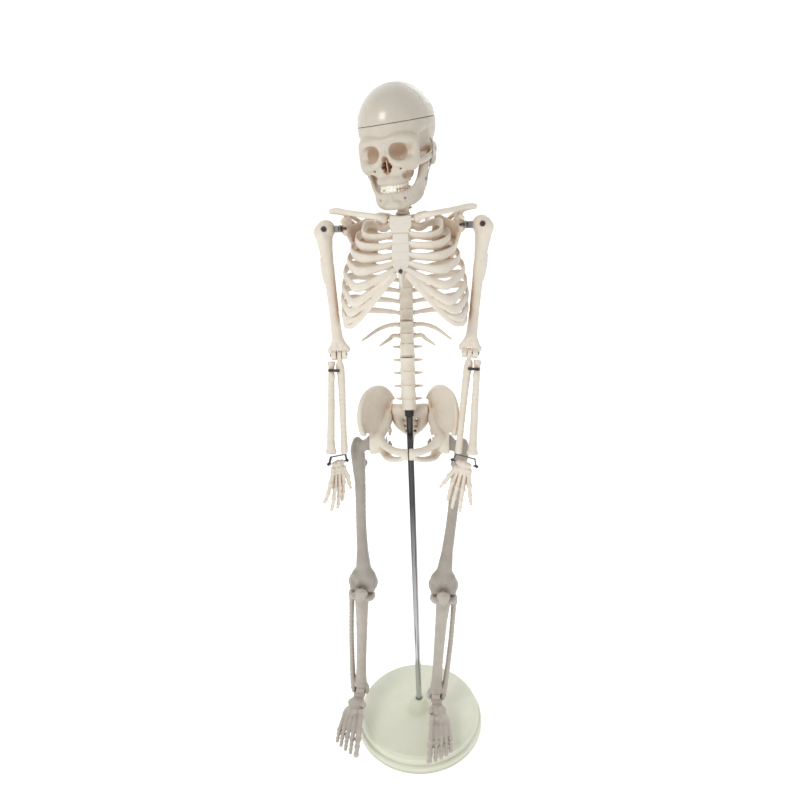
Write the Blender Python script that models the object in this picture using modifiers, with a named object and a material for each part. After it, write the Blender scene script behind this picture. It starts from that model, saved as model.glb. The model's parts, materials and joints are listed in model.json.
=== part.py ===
"""Half-size human skeleton model that hangs on a chrome pole in a round stand.

Every figure below is in millimetres, in the frame X = the skeleton's left, Y = its back, Z = up,
with the origin at the centre of the stand's underside. Each limb is modelled round its own pivot,
on an empty that holds the pose it rests in, so that a joint axis is always the empty's own X, Y or Z.
"""

import math

import bmesh
import bpy
from mathutils import Euler, Matrix, Vector

# ---------------------------------------------------------------- driving dimensions
MM = 0.001
GAP = 0.35  # between parts that rest on each other

BASE_RADIUS = 90.0
BASE_TOP_RADIUS = 82.0
BASE_HEIGHT = 23.0
BOSS_TOP = 39.5
POLE_RADIUS = 4.0
POLE_TOP = 522.0
POLE_PEG = 2.5
SPINE_FOOT = 488.0
NECK_PIN = 1.8
BOLT = 2.0

HIP = Vector((44.5, -10.0, 447.0))
THIGH, SHIN = 200.5, 175.0
KNEE_INSET = -6.0
SHOULDER = Vector((87.5, 1.0, 704.0))
BRACKET_REACH = 19.0
UPPER_ARM, FOREARM = 143.0, 129.0
NECK_TOP = Vector((0.0, 3.0, 771.0))
NECK = Vector((0.0, 3.0, 778.5))
JAW = Vector((0.0, -8.0, -6.0))
SHIN_LEAN = 0.084  # how far the shin runs inwards, for each unit down
KNEE_BALL, HEAD_BALL, ANKLE_ROLL, ELBOW_ROLL = 11.0, 11.0, 7.5, 6.2

# The pose it rests in, in degrees; swing is about X and spread about Y.
POSE = {
    "left": {"hip": (-3.0, 0.0), "shoulder": (-8.0, 5.3), "elbow": (-3.0, -1.6), "wrist": (0.0, 8.0, -18.0)},
    "right": {"hip": (-2.0, -8.5), "shoulder": (-6.5, 3.1), "elbow": (-3.0, -5.7), "wrist": (0.0, -2.0, -52.0)},
}
HEAD_TILT = (8.5, -4.0)  # of the neck pin: forwards, and to the right
HEAD_TURN = -15.0

# ---------------------------------------------------------------- materials
COLOURS = {
    "bone": ((0.80, 0.75, 0.66, 1), 0.38, 0.0),
    "bone_leg": ((0.68, 0.62, 0.56, 1), 0.45, 0.0),
    "stand": ((0.72, 0.74, 0.62, 1), 0.45, 0.0),
    "chrome": ((0.80, 0.80, 0.82, 1), 0.12, 1.0),
    "steel": ((0.45, 0.44, 0.42, 1), 0.30, 1.0),
    "rubber": ((0.03, 0.03, 0.03, 1), 0.70, 0.0),
    "zinc": ((0.66, 0.72, 0.80, 1), 0.25, 1.0),
}


def material(name):
    found = bpy.data.materials.get(name)
    if found:
        return found
    made = bpy.data.materials.new(name)
    made.use_nodes = True
    shader = made.node_tree.nodes["Principled BSDF"]
    colour, roughness, metallic = COLOURS[name]
    shader.inputs["Base Color"].default_value = colour
    shader.inputs["Roughness"].default_value = roughness
    shader.inputs["Metallic"].default_value = metallic
    return made


# ---------------------------------------------------------------- modelling tools
def clear_scene():
    for old in list(bpy.data.objects):
        bpy.data.objects.remove(old)


def collection(name, hidden=False):
    made = bpy.data.collections.new(name)
    bpy.context.scene.collection.children.link(made)
    made.hide_render = hidden
    return made


def pivot(name, parent, place, turn=(0, 0, 0)):
    """An empty at a joint, turned to the pose that the limb rests in."""
    empty = bpy.data.objects.new(name, None)
    PARTS.objects.link(empty)
    empty.parent = parent
    empty.location = Vector(place) * MM
    empty.rotation_euler = [math.radians(a) for a in turn]
    return empty


def mesh_from(shape, matrix=Matrix()):
    """A mesh of a bmesh, in metres."""
    bmesh.ops.transform(shape, matrix=Matrix.Scale(MM, 4) @ matrix, verts=shape.verts)
    mesh = bpy.data.meshes.new("shape")
    shape.to_mesh(mesh)
    shape.free()
    return mesh


def placed(place, turn=(0, 0, 0), size=(1, 1, 1)):
    spin = Euler([math.radians(a) for a in turn]).to_matrix().to_4x4()
    return Matrix.Translation(place) @ spin @ Matrix.Diagonal((*size, 1))


def ball(place, radii, turn=(0, 0, 0), detail=16):
    radii = radii if hasattr(radii, "__len__") else (radii,) * 3
    shape = bmesh.new()
    bmesh.ops.create_uvsphere(shape, u_segments=detail, v_segments=detail // 2 + 2, radius=1)
    return mesh_from(shape, placed(place, turn, radii))


def cylinder(place, radius, length, axis="Z", top=None, sides=16):
    """A cylinder, or a cone with another top radius, centred on place and lying along an axis."""
    turn = {"X": (0, 90, 0), "Y": (90, 0, 0), "Z": (0, 0, 0)}[axis]
    shape = bmesh.new()
    top = radius if top is None else top
    bmesh.ops.create_cone(
        shape, cap_ends=True, segments=sides, radius1=radius, radius2=top, depth=length
    )
    return mesh_from(shape, placed(place, turn))


def box(place, size, turn=(0, 0, 0)):
    shape = bmesh.new()
    bmesh.ops.create_cube(shape, size=1)
    return mesh_from(shape, placed(place, turn, size))


def slab(outline, depth):
    """A flat outline in X and Y, made depth thick along Z."""
    shape = bmesh.new()
    low = [shape.verts.new((x, y, -depth / 2)) for x, y in outline]
    high = [shape.verts.new((x, y, depth / 2)) for x, y in outline]
    shape.faces.new(low[::-1])
    shape.faces.new(high)
    for i, vertex in enumerate(low):
        after = (i + 1) % len(low)
        shape.faces.new((vertex, low[after], high[after], high[i]))
    bmesh.ops.recalc_face_normals(shape, faces=shape.faces)
    return mesh_from(shape)


def rod(points, sides=2, smooth=3):
    """A tapered round rod through (x, y, z, radius) points, drawn as a bevelled curve."""
    curve = bpy.data.curves.new("rod", "CURVE")
    curve.dimensions = "3D"
    curve.bevel_depth = MM
    curve.bevel_resolution = sides
    curve.use_fill_caps = True
    curve.resolution_u = smooth
    spline = curve.splines.new("BEZIER")
    spline.bezier_points.add(len(points) - 1)
    for knot, (x, y, z, radius) in zip(spline.bezier_points, points):
        knot.co = Vector((x, y, z)) * MM
        knot.radius = radius
        knot.handle_left_type = knot.handle_right_type = "AUTO"
    holder = bpy.data.objects.new("rod", curve)
    bpy.context.scene.collection.objects.link(holder)
    graph = bpy.context.evaluated_depsgraph_get()
    mesh = bpy.data.meshes.new_from_object(holder.evaluated_get(graph))
    bpy.data.objects.remove(holder)
    shape = bmesh.new()
    shape.from_mesh(mesh)
    bmesh.ops.remove_doubles(shape, verts=shape.verts, dist=1e-6)
    shape.to_mesh(mesh)
    shape.free()
    return mesh


def mirrored(meshes):
    """Copies of the meshes on the other side of X = 0."""
    made = []
    for mesh in meshes:
        copy = mesh.copy()
        copy.transform(Matrix.Scale(-1, 4, (1, 0, 0)))
        copy.flip_normals()
        made.append(copy)
    return made


def joined(meshes):
    shape = bmesh.new()
    for mesh in meshes:
        shape.from_mesh(mesh)
    made = bpy.data.meshes.new("joined")
    shape.to_mesh(made)
    shape.free()
    return made


def node(name, mesh, look, parent):
    made = bpy.data.objects.new(name, mesh)
    PARTS.objects.link(made)
    made.parent = parent
    made.data.materials.clear()
    made.data.materials.append(material(look))
    return made


def cut(target, meshes, parent, operation="DIFFERENCE"):
    """Takes each mesh away from the target with an exact Boolean."""
    for mesh in meshes:
        cutter = bpy.data.objects.new(f"cut_{target.name}", mesh)
        CUTTERS.objects.link(cutter)
        cutter.parent = parent
        cutter.hide_render = True
        cutter.display_type = "WIRE"
        boolean = target.modifiers.new("Cut", "BOOLEAN")
        boolean.operation = operation
        boolean.object = cutter
    return target


def bone(name, meshes, parent, triangles, voxel=1.0, cuts=(), soften=3, look="bone"):
    """One bone: its overlapping masses grown together by a voxel remesh, softened and thinned."""
    made = node(name, joined(meshes), look, parent)
    grown = made.modifiers.new("Grow together", "REMESH")
    grown.mode = "VOXEL"
    grown.voxel_size = voxel * MM
    if soften:
        soft = made.modifiers.new("Soften", "SMOOTH")
        soft.factor = 0.5
        soft.iterations = soften
    bpy.context.view_layer.update()
    graph = bpy.context.evaluated_depsgraph_get()
    grown_mesh = made.evaluated_get(graph).to_mesh()
    grown_mesh.calc_loop_triangles()
    count = len(grown_mesh.loop_triangles)
    made.evaluated_get(graph).to_mesh_clear()
    thin = made.modifiers.new("Thin", "DECIMATE")
    thin.ratio = min(1.0, triangles / count)
    return cut(made, cuts, parent)


def both_sides(build):
    """Runs a builder for the left side and for the right one, where its meshes are mirrored."""
    for side, sign in (("left", 1), ("right", -1)):
        build(side, sign, (lambda meshes: meshes) if sign > 0 else mirrored)


# ---------------------------------------------------------------- the stand
def build_stand():
    rim = [(BASE_RADIUS, 0), (BASE_RADIUS, 9), (BASE_RADIUS - 2, 11), (BASE_RADIUS - 3.5, 11)]
    roof = BASE_HEIGHT - 3
    top = [(BASE_RADIUS - 4.5, roof - 1), (BASE_TOP_RADIUS, BASE_HEIGHT), (16, BASE_HEIGHT)]
    boss = [(13, BASE_HEIGHT + 3), (8.5, BOSS_TOP - 1), (7.5, BOSS_TOP), (POLE_RADIUS + GAP, BOSS_TOP)]
    inside = [(POLE_RADIUS + GAP, 14), (11, 14), (11, roof), (78, roof), (82, roof - 3), (82, 4), (86, 4), (86, 0)]
    shell = lathe("stand_base", rim + top + boss + inside, "stand", 32)
    plate = [(0.0, 0.0), (85.5, 0.0), (85.5, 3.0), (84.5, 3.6), (0.0, 3.6)]
    lathe("base_plate", plate, "steel", 40)
    nut = [(POLE_RADIUS + 1.1, 7), (9, 7), (9, 13.6), (POLE_RADIUS + 1.1, 13.6)]
    lathe("pole_nut", nut, "steel", 6)
    foot = [(0.0, 5.0), (POLE_RADIUS, 5.0), (POLE_RADIUS, SPINE_FOOT - 10)]
    peg = [(POLE_PEG, SPINE_FOOT - 10), (POLE_PEG, POLE_TOP - 1), (POLE_PEG - 0.7, POLE_TOP), (0.0, POLE_TOP)]
    lathe("pole", foot + peg, "chrome", 24)
    bore = POLE_PEG + GAP
    plug = [(bore, SPINE_FOOT - 9.6), (5.0, SPINE_FOOT - 9.6), (5.4, SPINE_FOOT - 9), (5.4, SPINE_FOOT - GAP)]
    lathe("pole_collar", plug + [(bore, SPINE_FOOT - GAP)], "rubber", 20)
    return shell


def lathe(name, profile, look, steps):
    """A part turned round the Z axis from (radius, height) points, by a Screw modifier."""
    profile = [Vector((radius, 0, height)) * MM for radius, height in reversed(profile)]
    closed = profile[0].x > 0
    mesh = bpy.data.meshes.new(name)
    count = len(profile)
    edges = [(i, (i + 1) % count) for i in range(count if closed else count - 1)]
    mesh.from_pydata(profile, edges, [])
    made = node(name, mesh, look, None)
    screw = made.modifiers.new("Turn", "SCREW")
    screw.steps = screw.render_steps = steps
    screw.use_merge_vertices = True
    screw.merge_threshold = 1e-5
    return made


# ---------------------------------------------------------------- the trunk
def spine_y(z):
    """How far the spine's bodies stand behind the pole's axis, at a height."""
    bends = [(488, 0), (515, -2.5), (540, -1.5), (580, 6), (620, 15), (660, 18), (700, 12), (722, 6), (745, 1)]
    bends.append((775, 3))
    for (low, y0), (high, y1) in zip(bends, bends[1:]):
        if z <= high:
            share = max(0.0, (z - low) / (high - low))
            share = share * share * (3 - 2 * share)
            return y0 + (y1 - y0) * share
    return bends[-1][1]


def vertebrae():
    """(kind, number, height of its middle, height of its body) from the lowest lumbar one up."""
    heights = [17.2, 16.8, 16.4, 15.6, 15.2] + [13.2] * 4 + [12.4] * 4 + [11.8] * 4 + [7.4] * 7
    kinds = [("L", n) for n in range(5, 0, -1)]
    kinds += [("T", n) for n in range(12, 0, -1)]
    kinds += [("C", n) for n in range(7, 0, -1)]
    z = SPINE_FOOT
    for (kind, number), height in zip(kinds, heights):
        yield kind, number, z + height / 2, height
        z += height


def rib_height(number):
    return next(z for kind, n, z, _ in vertebrae() if kind == "T" and n == number)


def build_spine(torso):
    masses = []
    for kind, number, z, height in vertebrae():
        y = spine_y(z)
        wide, deep = {"L": (9.0, 8.2), "T": (8.2, 7.6), "C": (6.4, 5.6)}[kind]
        lean = math.degrees(math.atan2(spine_y(z - 6) - spine_y(z + 6), 12))
        masses.append(ball((0, y, z), (wide * 1.12, deep * 1.12, height * 0.62), (lean, 0, 0)))
        drum = cylinder((0, 0, 0), 8.0, height + 1.0, sides=14)
        drum.transform(Matrix.Translation((0, y * MM, z * MM)) @ Matrix.Diagonal((wide / 9.4, deep / 9.4, 1, 1)))
        masses.append(drum)
        back = y + deep + 3
        masses.append(ball((0, back, z), (6.0, 4.5, height * 0.5)))
        long, drop = {"L": (13, 0.35), "T": (11, 0.95), "C": (8, 0.4)}[kind]
        masses.append(rod([(0, back, z, 2.6), (0, back + long, z - height * drop, 2.0)]))
        reach = {"L": 16.5, "T": 13.0, "C": 9.0}[kind]
        for side in (-1, 1) if kind != "T" else ():
            tip = (side * reach, back + (3 if kind == "T" else -1), z + 1.0, 1.8)
            masses.append(rod([(side * 3, back - 1, z + 0.5, 2.6), tip]))
    for number, length, drop in ((11, 52.0, 13.0), (12, 33.0, 10.0)):
        z = rib_height(number)
        y = spine_y(z)
        for side in (-1, 1):
            path = [(side * 5, y + 5, z, 2.4), (side * 17, y + 11, z, 2.3)]
            path.append((side * length * 0.65, y + 9, z - drop * 0.35, 2.2))
            path.append((side * length, y - (14 if number == 11 else -1), z - drop, 1.2))
            masses.append(rod(path))
    bore = cylinder((0, 0, SPINE_FOOT + 14), POLE_PEG + GAP, 46)
    neck = cylinder((0, NECK_TOP.y, NECK_TOP.z - 6), NECK_PIN + GAP, 24)
    foot = box((0, 0, SPINE_FOOT - 10), (60, 60, 20))
    crown = box((0, 0, NECK_TOP.z + 9.0), (60, 60, 20))
    bone("spine", masses, torso, 1550, 1.0, [foot, crown, bore, neck], soften=1)


def build_sacrum(torso):
    masses = [
        ball((0, 16, 479), (13, 8.5, 9.5)),
        rod([(0, 16, 478, 8.5), (0, 20, 462, 7), (0, 25, 446, 4.8), (0, 22, 430, 2.6), (0, 17, 422, 1.6)]),
        rod([(0, 27, 478, 3), (0, 31, 464, 3.2), (0, 32, 450, 2.4)]),
    ]
    wing = [
        rod([(0, 17, 476, 8), (14, 19, 476, 6.8), (16.8, 21, 474, 6.4)]),
        rod([(15.5, 20, 474, 6.5), (13, 22, 460, 5), (6, 26, 446, 3)]),
    ]
    holes = []
    for x, z in ((7.2, 467), (6.2, 458), (5.2, 450)):
        holes.append(cylinder((x, 18, z), 1.4, 40, "Y", sides=8))
    clear = cylinder((0, 0, 470), 6.5, 80)
    top = box((0, 16, SPINE_FOOT + 9.6), (60, 60, 20))
    bone("sacrum", masses + wing + mirrored(wing), torso, 420, 0.9, [clear, top, *holes, *mirrored(holes)])


CREST = [(20.5, 32, 484), (25, 27, 497), (33, 17, 509), (43, 4, 513), (52, -9, 509), (57, -20, 498), (58.2, -26, 482), (56, -28, 470)]
HUB = [(24, 22, 468), (27, 15, 464), (31, 8, 462), (35, 1, 461), (40, -5, 460), (45, -10, 460), (50, -16, 460), (53, -20, 458)]


def build_hip_bones(torso):
    x, y, z = HIP
    masses = [rod([(*p, 2.6) for p in CREST], smooth=6)]
    for low, high in zip(HUB, CREST):
        middle = [(a + b) / 2 + push for a, b, push in zip(low, high, (1.5, 3, -1))]
        masses.append(rod([(*low, 4.2), (*middle, 2.3), (*high, 2.4)]))
    between = zip(zip(HUB, CREST), zip(HUB[1:], CREST[1:]))
    for (low, high), (low2, high2) in between:
        for share in (1 / 3, 2 / 3):
            start = [a + (b - a) * share for a, b in zip(low, low2)]
            end = [a + (b - a) * share for a, b in zip(high, high2)]
            middle = [(a + b) / 2 + push for a, b, push in zip(start, end, (1.5, 3, -1))]
            masses.append(rod([(*start, 4.2), (*middle, 2.4), (*end, 2.6)]))
    masses += [
        ball((x, y, z), HEAD_BALL + 3.2, detail=20),
        ball((24, 25, 478), (4.2, 8, 12)),
        rod([(x - 6, y - 6, 456, 6), (22, -31, 448.5, 4), (6, -37, 445, 4.4)]),
        ball((5.4, -35.5, 442), (4.2, 4.2, 7.5)),
        rod([(6, -34, 437, 3), (13, -25, 430, 2.9), (24, -8, 423, 3.6), (30, 2, 422, 5.2)]),
        rod([(x - 4, y + 10, 446, 7), (36, 7, 432, 5.6), (31, 5, 425, 6.0)]),
        rod([(x - 6, y + 14, 456, 5), (28, 18, 455, 3), (27, 19, 446, 1.6)]),
    ]
    socket = ball((x, y, z), HEAD_BALL + 0.7, detail=22)
    mouth = box((x + 24, y, z - 1), (40, 40, 34))
    bolt = cylinder((x - 12, y, z), BOLT + 2.3, 24, "X")
    symphysis = box((-29.5, -36, 440), (60, 30, 60))
    wing = box((3.0, 21, 470), (39.5, 34, 40))
    pole = cylinder((0, 0, 450), 7, 130)
    cuts = [socket, mouth, bolt, symphysis, wing, pole]

    def build(side, sign, turned):
        bone(f"hip_bone_{side}", turned(masses), torso, 640, 1.0, turned(cuts))

    both_sides(build)


# half-width, front end of the bone, where its cartilage ends
RIBS = [
    (28, (20, -24, 704), (9, -31, 710)),
    (43, (34, -36, 695), (8, -38, 698)),
    (51, (37, -44, 686), (7, -43, 688)),
    (57, (40, -50, 675), (7, -48, 677)),
    (61.5, (43, -55, 662), (7, -52, 669)),
    (66.5, (46, -58, 646), (7, -55, 662)),
    (69, (50, -58, 630), (7, -57, 657)),
    (70.5, (56, -54, 619), (35, -59, 631)),
    (70, (62, -46, 609), (45, -56, 619)),
    (68, (65, -34, 602), (56, -47, 606)),
]
RIB_SIDE = [713, 705, 694, 683, 672, 660, 646.5, 634, 621, 608]


def rib_path(index):
    """A rib's centre line from the spine round to its front end, then its cartilage."""
    wide, front, end = RIBS[index]
    z = rib_height(index + 1)
    y = spine_y(z)
    side = RIB_SIDE[index]
    start = [(11.8, y + 8, z + 1, 2.2), (19, y + 13, z + 1.5, 2.2)]
    back = [(wide * 0.6, y + 13 - index * 0.4, (z + side) / 2 + 1.5, 2.3), (wide * 0.93, y * 0.55, side + 2.5, 2.4)]
    flank = [(wide, -8 - index * 0.8, (side * 2 + front[2]) / 3, 2.4)]
    shoulder = ((wide * 0.95 + front[0]) / 2 + 3, (front[1] * 1.12 - 6) / 2 - 4, (side + 3 * front[2]) / 4)
    path = start + back + flank + [(*shoulder, 2.4), (*front, 2.5)]
    return path + [((front[0] + end[0]) / 2, (front[1] + end[1]) / 2 - 1.5, (front[2] + end[2]) / 2 - 0.8, 2.3), (*end, 2.3)]


def build_rib_cages(torso):
    masses = [rod(rib_path(index), smooth=5) for index in range(10)]
    margin = [(66, -35, 601, 2.8), (57, -46, 604, 2.9), (46, -55, 614, 2.8), (34, -59, 628, 2.6), (20, -60, 644, 2.4), (8, -58, 655, 2.3)]
    masses.append(rod(margin, smooth=6))
    rail = [(12.6, spine_y(z) + 12.0, z, 2.2) for z in range(602, 720, 9)]
    masses.append(rod(rail))
    breast = [box((0, -46, 680), (20.6, 60, 90)), box((0, -40, 709), (24.4, 60, 26))]

    def build(side, sign, turned):
        bone(f"rib_cage_{side}", turned(masses), torso, 1400, 1.15, turned(breast), soften=1)

    both_sides(build)


def build_sternum(torso):
    tilt = 23.2
    masses = [box((0, 0, -9), (23, 3.6, 18)), box((0, 0, -37), (18, 3.4, 40)), box((0, 0, -60), (9, 2.6, 12))]
    masses.append(box((0, 0, -71), (3, 2.2, 14)))
    for mesh in masses:
        spin = Euler((math.radians(-tilt), 0, 0)).to_matrix().to_4x4()
        mesh.transform(Matrix.Translation((0, -32 * MM, 716 * MM)) @ spin)
    hole = cylinder((0, -57, 662), 1.5, 20, "Y", sides=12)
    bone("sternum", masses, torso, 420, 0.7, [hole], soften=3)
    screw = [cylinder((0, -57.2, 662), 1.15, 8, "Y"), cylinder((0, -60.6, 662), 2.2, 1.6, "Y")]
    head = node("sternum_screw", screw[0], "steel", torso)
    cut(head, [screw[1]], torso, "UNION")


# ---------------------------------------------------------------- shoulders and arms
def build_shoulder_girdles(torso):
    x, y, z = SHOULDER
    border = [(38, 25, 715, 1.7), (34, 31, 700, 1.7), (34, 34, 682, 1.6), (38, 35, 660, 1.6), (45, 33.5, 643, 1.9)]
    masses = [rod(border), rod([(62, 7, 697, 3.2), (56, 25.5, 672, 2.2), (46, 34, 644, 2)])]
    masses.append(ball((64.5, 3.0, 703), (5.2, 6.5, 8)))
    for low, high in zip(border, border[1:]):
        for share in (0, 0.2, 0.4, 0.6, 0.8):
            bx, by, bz = (a + (b - a) * share for a, b in zip(low[:3], high[:3]))
            root = (61, 8, 700 + (bz - 680) * 0.1, 2.4)
            middle = ((61 + bx) / 2, (10 + by) / 2 + 3.5, (698 + bz) / 2, 1.8)
            masses.append(rod([root, middle, (bx, by, bz, 1.8)]))
    masses.append(rod([(35, 33, 700, 1.4), (48, 29.5, 707, 2), (62, 20, 717, 2.4), (73, 12, 721.5, 2.8), (79.5, 7.5, 722, 2.6)]))
    masses.append(rod([(48, 27, 700, 1.6), (56, 20, 706, 1.8), (66, 14, 716, 1.8)]))
    masses.append(rod([(60.5, 3, 709, 3.4), (61, -6, 714.5, 2.8), (66, -13, 711.5, 2.1)]))
    face = box((x - 8.9, y, z), (20, 40, 19))
    hole = cylinder((x - 22, y - 5.2, z), 1.3 + GAP, 22, "X", sides=12)
    collar_path = [(17.5, -31, 713.5, 4), (24, -36, 716, 3), (38, -34, 718.5, 2.8), (58, -16, 721, 2.6), (72, -3.5, 723, 3), (79.5, 0.6, 722.5, 3)]

    def build(side, sign, turned):
        bone(f"scapula_{side}", turned(masses), torso, 400, 0.8, turned([face, hole]), soften=2)
        bone(f"clavicle_{side}", turned([rod(collar_path)]), torso, 140, 0.8, soften=1)

    both_sides(build)


def pin(name, parent, parts, look="steel"):
    """A screw, bolt or pin: its first mesh with the others joined to it."""
    made = node(name, parts[0], look, parent)
    return cut(made, parts[1:], parent, "UNION")


def build_arm(side, sign, torso):
    turned = (lambda meshes: meshes) if sign > 0 else mirrored
    swing, spread = POSE[side]["shoulder"]
    x, y, z = SHOULDER
    socket = pivot(f"shoulder_swing_{side}", torso, (sign * (x - BRACKET_REACH), y - 5.2, z), (swing, 0, 0))
    bend = [(0.4, -4.6), (1.6, -4.6), (1.6, 4.6), (BRACKET_REACH, 4.6), (BRACKET_REACH, 5.8), (0.4, 5.8)]
    flange = [slab(bend, 7.6), cylinder((BRACKET_REACH, 5.2, 0), 3.9, 1.1, "Y", sides=20)]
    holes = [cylinder((0, 0, 0), 1.3 + GAP, 12, "X"), cylinder((BRACKET_REACH, 5.2, 0), 1.3 + GAP, 12, "Y")]
    bracket = node(f"shoulder_bracket_{side}", turned(flange[:1])[0], "steel", socket)
    cut(bracket, turned(flange[1:]), socket, "UNION")
    cut(bracket, turned(holes), socket)
    screw = [cylinder((-4, 0, 0), 1.3, 14, "X"), cylinder((2.8, 0, 0), 2.4, 1.6, "X", sides=12)]
    pin(f"glenoid_screw_{side}", socket, turned(screw))

    arm = pivot(f"shoulder_lift_{side}", socket, (sign * BRACKET_REACH, 5.2, 0), (0, sign * spread, 0))
    masses = [
        ball((-0.5, 0.5, 0), (10.2, 10.4, 10.5)),
        ball((3.5, -1, -2.5), (8.6, 9.2, 9.2)),
        rod([(2.5, 0, -6, 9.4), (2, 0, -22, 7.2), (1, 0, -42, 6), (0, 0, -90, 5.3), (-0.5, 0, -116, 5.6), (-1, 0, -126, 6)]),
        ball((-1, 0.5, -133), (10, 4.2, 9)),
        ball((-10.5, 1, -137), (3.8, 3.6, 4.6)),
        ball((8.6, 0.5, -138), (3.6, 3.4, 4.6)),
        cylinder((-1, 0, -UPPER_ARM), ELBOW_ROLL, 17, "X", sides=20),
    ]
    slots = [
        box((-6.5, 0, 5), (23, 2.0, 20.6)),
        cylinder((0, 0, 0), 1.3 + GAP, 60, "Y"),
        cylinder((0, -13.9, 0), 3.3, 10, "Y"),
        box((-1.5, 0, -UPPER_ARM - 2), (6.2, 26, 16.5)),
        cylinder((0, 0, -UPPER_ARM), 1.1 + GAP, 50, "X"),
        cylinder((13.2, 0, -UPPER_ARM), 2.5, 10, "X"),
        cylinder((-15.4, 0, -UPPER_ARM), 2.5, 10, "X"),
    ]
    bone(f"humerus_{side}", turned(masses), arm, 380, 1.0, turned(slots))
    screw = [cylinder((0, -0.5, 0), 1.3, 18, "Y"), cylinder((0, -10.2, 0), 2.8, 1.6, "Y", sides=14)]
    pin(f"humerus_screw_{side}", arm, turned(screw))

    flex, carry = POSE[side]["elbow"]
    elbow = pivot(f"elbow_{side}", arm, (0, 0, -UPPER_ARM), (flex, sign * carry, 0))
    masses = [
        cylinder((-1.5, 0, 0), 5.4, 5.0, "X", sides=20),
        box((-1.5, 0.8, -6.5), (5.0, 8.0, 9)),
        rod([(-1.5, 0.5, -12.5, 4.6), (-3.5, 1, -30, 3.4), (-6, 0, -80, 2.8), (-7.5, 0, -112, 3.2), (-7.5, 0, -116, 3.8)]),
    ]
    cuts = [cylinder((0, 0, 0), 1.4 + GAP, 50, "X"), box((-8, 0, -130), (30, 40, 21.4))]
    bone(f"ulna_{side}", turned(masses), elbow, 200, 0.8, turned(cuts), soften=2)
    masses = [
        rod([(8.4, -1, -15, 4.4), (8.4, -1, -19, 4), (8.4, -1, -25, 2.9), (8.2, -1.5, -60, 3.4), (8.6, -2, -98, 3.9), (8.2, -2, -114, 5)]),
        ball((8.0, -2, -117), (6.4, 4.6, 5)),
    ]
    bone(f"radius_{side}", turned(masses), elbow, 200, 0.8, turned([box((8, 0, -130), (30, 40, 21.4)), box((8, 0, -5), (30, 30, 14))]), soften=2)
    steel = [box((4.3, -6.3, -18), (13.5, 0.8, 3.4)), cylinder((8.4, -6.6, -18), 1.9, 1.6, "Y", sides=12)]
    pin(f"radius_link_{side}", elbow, turned(steel))
    across = [cylinder((-1, 0, -UPPER_ARM), 1.1, 19, "X", sides=12)]
    across.append(cylinder((9.1, 0, -UPPER_ARM), 2.0, 1.2, "X", sides=12))
    pin(f"elbow_pin_{side}", arm, turned(across))

    turn = POSE[side]["wrist"]
    wrist = pivot(f"wrist_{side}", elbow, (0, 0, -FOREARM), (turn[0], sign * turn[1], sign * turn[2]))
    frame = [box((0, 0, 7.0), (24, 3.4, 1.0))]
    frame += [box((12.9, 0, 2.9), (1.0, 3.4, 9.3), (0, -18, 0)), box((-12.9, 0, 2.9), (1.0, 3.4, 9.3), (0, 18, 0))]
    frame += [cylinder((14.2, 0, -1.2), 2.1, 2.6, "X", sides=14), cylinder((-14.2, 0, -1.2), 2.1, 2.6, "X", sides=14)]
    pin(f"wrist_bracket_{side}", wrist, turned(frame))
    masses = [
        ball((0, 0, -3.5), (8.5, 4.4, 5.8)),
        ball((0.5, 0, -10), (11, 4.4, 6.0)),
        rod([(-8, -1, -9, 3.2), (-14, -2, -20, 2.8), (-18.5, -1, -29, 2.2), (-23.5, 1, -38, 1.7)]),
    ]
    fingers = [(-6, -9, -12, 53), (-1.5, -2.5, -5, 61), (3.5, 4.5, 5.5, 62), (8.0, 11.5, 17, 50)]
    for base, knuckle, tip, length in fingers:
        path = [(base, 0, -12, 2.2), (knuckle, -0.5, -length * 0.52, 2.6), ((knuckle + tip) / 2, 1, -length * 0.76, 2.0)]
        masses.append(rod(path + [(tip, 3.5, -length, 1.5)]))
    bone(f"hand_{side}", turned(masses), wrist, 400, 0.8, soften=1)


# ---------------------------------------------------------------- hips and legs
def lean_in(mesh):
    """Shears the shin's lower part towards the other leg, so that the shins stand upright under knock knees."""
    for vertex in mesh.vertices:
        vertex.co.x += SHIN_LEAN * min(0.0, vertex.co.z + 20 * MM)


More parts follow.
